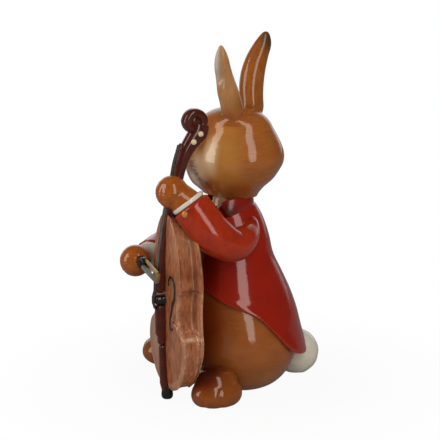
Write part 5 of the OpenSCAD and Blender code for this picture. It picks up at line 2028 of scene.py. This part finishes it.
@dataclass
class Studio:
    """Pale floor, two tall softboxes and the camera at the photograph's angle. In the glaze the room is white
    behind the figurine and dark elsewhere, so that it mirrors little but the two lamps."""

    target: Point = (-16.448, 0.627, 65.718)
    azimuth: float = 65.0
    elevation: float = 13.0
    distance: float = 600.0
    focal_px: float = 1410.0
    image_px: float = 440.0
    sensor: float = 36.0
    world_level: float = 0.42
    room_level: float = 0.04
    # Cosines of the angle from the camera's direction between which the room goes over to its dark level.
    room_cosines: tuple[float, float] = (-0.9, -0.5)
    floor_half: float = 3000.0
    floor_white: float = 0.6
    floor_mirrored: float = 0.2
    glow_mirrored: float = 0.06
    # Distances from the figurine between which the floor's glow rises to 1, and the glow beside it.
    glow_reach: tuple[float, float] = (30.0, 130.0)
    glow_near: float = 0.94
    lamps: tuple[Softbox, ...] = (
        Softbox("left_softbox", -15, 20, (235, 600), 1.5),
        Softbox("right_softbox", 86, 33, (190, 820), 1.75),
    )

    def direction(self, azimuth: float, elevation: float) -> np.ndarray:
        """Direction from the figurine, with azimuth 0 before it and 90 on its left."""
        a, e = np.radians(azimuth), np.radians(elevation)
        return np.array([np.sin(a) * np.cos(e), -np.cos(a) * np.cos(e), np.sin(e)])

    def build_lamp(self, box: Softbox) -> None:
        """Adds a lamp that looks at the figurine.

        Args:
            box: the lamp.
        """
        lamp = bpy.data.lights.new(box.name, "AREA")
        lamp.shape = "RECTANGLE"
        lamp.size, lamp.size_y = (size * MM for size in box.size)
        lamp.energy = box.power
        lamp.color = box.colour
        made = bpy.data.objects.new(box.name, lamp)
        middle = np.asarray(box.looks_at)
        place = middle + self.direction(box.azimuth, box.elevation) * box.away
        made.location = Vector(place * MM)
        made.rotation_euler = Vector(place - middle).to_track_quat("Z", "Y").to_euler()
        bpy.context.scene.collection.objects.link(made)

    def seen(self, tree: Tree, mirrored: float) -> Socket:
        """How far a ray sees the background: the larger of two numbers, one for the camera's own rays and one
        for mirrored and refracted ones.

        Args:
            tree: the nodes.
            mirrored: the share for mirrored and refracted rays.

        Returns:
            The number.
        """
        path = add_node(tree, "ShaderNodeLightPath")
        through = add_node(tree, "ShaderNodeMath", {"operation": "MAXIMUM"},
                           {0: path.outputs["Is Glossy Ray"], 1: path.outputs["Is Transmission Ray"]})
        weaker = add_node(tree, "ShaderNodeMath", {"operation": "MULTIPLY", 1: mirrored},
                          {0: through.outputs[0]})
        both = add_node(tree, "ShaderNodeMath", {"operation": "MAXIMUM"},
                        {0: path.outputs["Is Camera Ray"], 1: weaker.outputs[0]})
        return both.outputs[0]

    def build(self) -> None:
        """Builds the world, the floor, the lamps and the camera."""
        bpy.context.scene.view_settings.view_transform = "Standard"
        self.build_world()
        self.build_floor()
        for box in self.lamps:
            self.build_lamp(box)
        self.build_camera()

    def build_world(self) -> None:
        """Builds the room: one level for what it lights, white for the camera, and for mirrored rays white
        only behind the figurine."""
        world = bpy.data.worlds.new("white_studio")
        bpy.context.scene.world = world
        tree = bare_tree(world)
        place = add_node(tree, "ShaderNodeTexCoord").outputs["Generated"]
        back = tuple(self.direction(self.azimuth, self.elevation).tolist())
        facing = add_node(tree, "ShaderNodeVectorMath", {"operation": "DOT_PRODUCT", 1: back}, {0: place})
        low, high = self.room_cosines
        fall = {"interpolation_type": "SMOOTHSTEP", "From Min": low, "From Max": high, "To Min": 1.0,
                "To Max": self.room_level}
        backdrop = add_node(tree, "ShaderNodeMapRange", fall, {"Value": facing.outputs["Value"]})
        path = add_node(tree, "ShaderNodeLightPath").outputs["Is Camera Ray"]
        white = add_node(tree, "ShaderNodeMath", {"operation": "MAXIMUM"}, {0: backdrop.outputs[0], 1: path})
        lower, upper = MIX_NUMBERS
        level = add_node(tree, "ShaderNodeMix", {lower: self.world_level},
                         {0: self.seen(tree, 1.0), upper: white.outputs[0]})
        sky = add_node(tree, "ShaderNodeBackground", {"Color": (1, 1, 1, 1)}, {"Strength": level.outputs[0]})
        add_node(tree, "ShaderNodeOutputWorld", links={"Surface": sky.outputs[0]})

    def build_camera(self) -> None:
        """Builds the camera, whose lens gives the photograph's focal length in pixels."""
        back = self.direction(self.azimuth, self.elevation)
        camera = bpy.data.cameras.new("camera")
        camera.sensor_width = self.sensor
        camera.lens = self.focal_px / self.image_px * self.sensor
        made = bpy.data.objects.new("camera", camera)
        made.location = Vector((np.asarray(self.target) + back * self.distance) * MM)
        made.rotation_euler = Vector(back).to_track_quat("Z", "Y").to_euler()
        bpy.context.scene.collection.objects.link(made)
        bpy.context.scene.camera = made

    def build_floor(self) -> None:
        """Builds the floor: matt white card whose seen colour is lifted to white, with the shadow kept."""
        mesh = bpy.data.meshes.new("floor_card")
        half = self.floor_half * MM
        corners = [(-half, -half, 0), (half, -half, 0), (half, half, 0), (-half, half, 0)]
        mesh.from_pydata(corners, [], [(0, 1, 2, 3)])
        floor = bpy.data.objects.new("floor_card", mesh)
        bpy.context.scene.collection.objects.link(floor)
        mesh.materials.append(self.card())

    def card(self) -> bpy.types.Material:
        """The floor's finish: matt white card, which gives a soft shadow and no mirrored figurine. Mirrored
        rays see it darker, and its glow is weaker near the figurine.

        Returns:
            The material.
        """
        made = bpy.data.materials.new("matt_white_card")
        tree = bare_tree(made)
        path = add_node(tree, "ShaderNodeLightPath").outputs["Is Glossy Ray"]
        shade = add_node(tree, "ShaderNodeMapRange",
                         {"To Min": self.floor_white, "To Max": self.floor_mirrored}, {0: path})
        matt = add_node(tree, "ShaderNodeBsdfDiffuse", links={"Color": shade.outputs[0]})
        glow = add_node(tree, "ShaderNodeEmission", {"Color": (1, 1, 1, 1), "Strength": 1.0})
        place = add_node(tree, "ShaderNodeTexCoord").outputs["Object"]
        away = add_node(tree, "ShaderNodeVectorMath", {"operation": "LENGTH"}, {0: place})
        near, far = (reach * MM for reach in self.glow_reach)
        rise = {"interpolation_type": "SMOOTHSTEP", "From Min": near, "From Max": far,
                "To Min": self.glow_near, "To Max": 1.0}
        lift = add_node(tree, "ShaderNodeMapRange", rise, {"Value": away.outputs["Value"]})
        share = add_node(tree, "ShaderNodeMath", {"operation": "MULTIPLY"},
                         {0: self.seen(tree, self.glow_mirrored), 1: lift.outputs[0]})
        mix = add_node(tree, "ShaderNodeMixShader",
                       links={0: share.outputs[0], 1: matt.outputs[0], 2: glow.outputs[0]})
        add_node(tree, "ShaderNodeOutputMaterial", links={"Surface": mix.outputs[0]})
        return made


def main() -> None:
    """Builds every sub-assembly of the figurine, the stage, the lights and the camera."""
    logging.basicConfig(level=logging.INFO, format="%(message)s")
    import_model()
    body = BodyForm()
    coat = Coat(body)
    head = Head()
    left_line = ((8.0, 2.2, 71.5), (10.2, 1.8, 70.9), (12.8, 0.9, 69.4), (15.4, -1.2, 67.3),
                 (18.8, -5.6, 65.6), (21.6, -12.0, 64.6), (20.8, -20.2, 70.2), (15.6, -27.8, 81.7))
    right_line = ((-7.0, 3.0, 70.0), (-13.0, 1.5, 69.5), (-19.5, -3.0, 65.0), (-23.6, -9.5, 60.0),
                  (-22.5, -17.0, 57.0), (-17.4, -26.4, 55.4), (-11.0, -33.6, 54.8))
    left_arm = Arm(
        Side.LEFT, left_line, (2.0, 2.6, 3.4, 4.5, 5.9, 6.9, 8.0, 7.9), cuff_r=7.1, cuff_width=1.8,
        button_place=(21.5, -31.9, 79.0), button_out=(0.75, -0.55, -0.2),
    )
    right_arm = Arm(
        Side.RIGHT, right_line, (5.0, 5.6, 6.4, 7.4, 7.6, 7.2, 6.9), cuff_r=6.3, cuff_width=2.0,
        button_place=(-18.25, -35.1, 57.8), button_out=(-0.637, -0.669, 0.383),
    )
    left_paw = Paw(Side.LEFT, centre=(12.07, -33.6, 86.3), r=6.55, wrist=(15.9, -27.4, 81.2), wrist_r=5.9)
    right_paw = Paw(Side.RIGHT, centre=(-8.56, -41.25, 54.4), r=6.5, wrist=(-9.3, -37.0, 54.5), wrist_r=3.0,
                    fold_degrees=-20.0, finger_degrees=-60.0)
    body.build()
    coat.build()
    Collar(coat).build()
    Tail().build()
    Foot(Side.LEFT, reach=22.9, turn=6.0, toes=52.0).build()
    Foot(Side.RIGHT, reach=29.0, turn=38.0, toes=10.0, middle=0.45, ankle_share=0.35).build()
    head.build()
    Ear(head, Side.LEFT, rise=29.8).build(Palette.near_ear)
    Ear(head, Side.RIGHT, rise=32.4).build(Palette.far_ear)
    Face(head).build()
    left_arm.build()
    right_arm.build()
    CuffButtons((left_arm, right_arm)).build()
    left_paw.build()
    right_paw.build()
    BassBody().build()
    BassNeck().build()
    BassFittings().build()
    Bow().build()
    Studio().build()


if __name__ == "__main__":
    main()
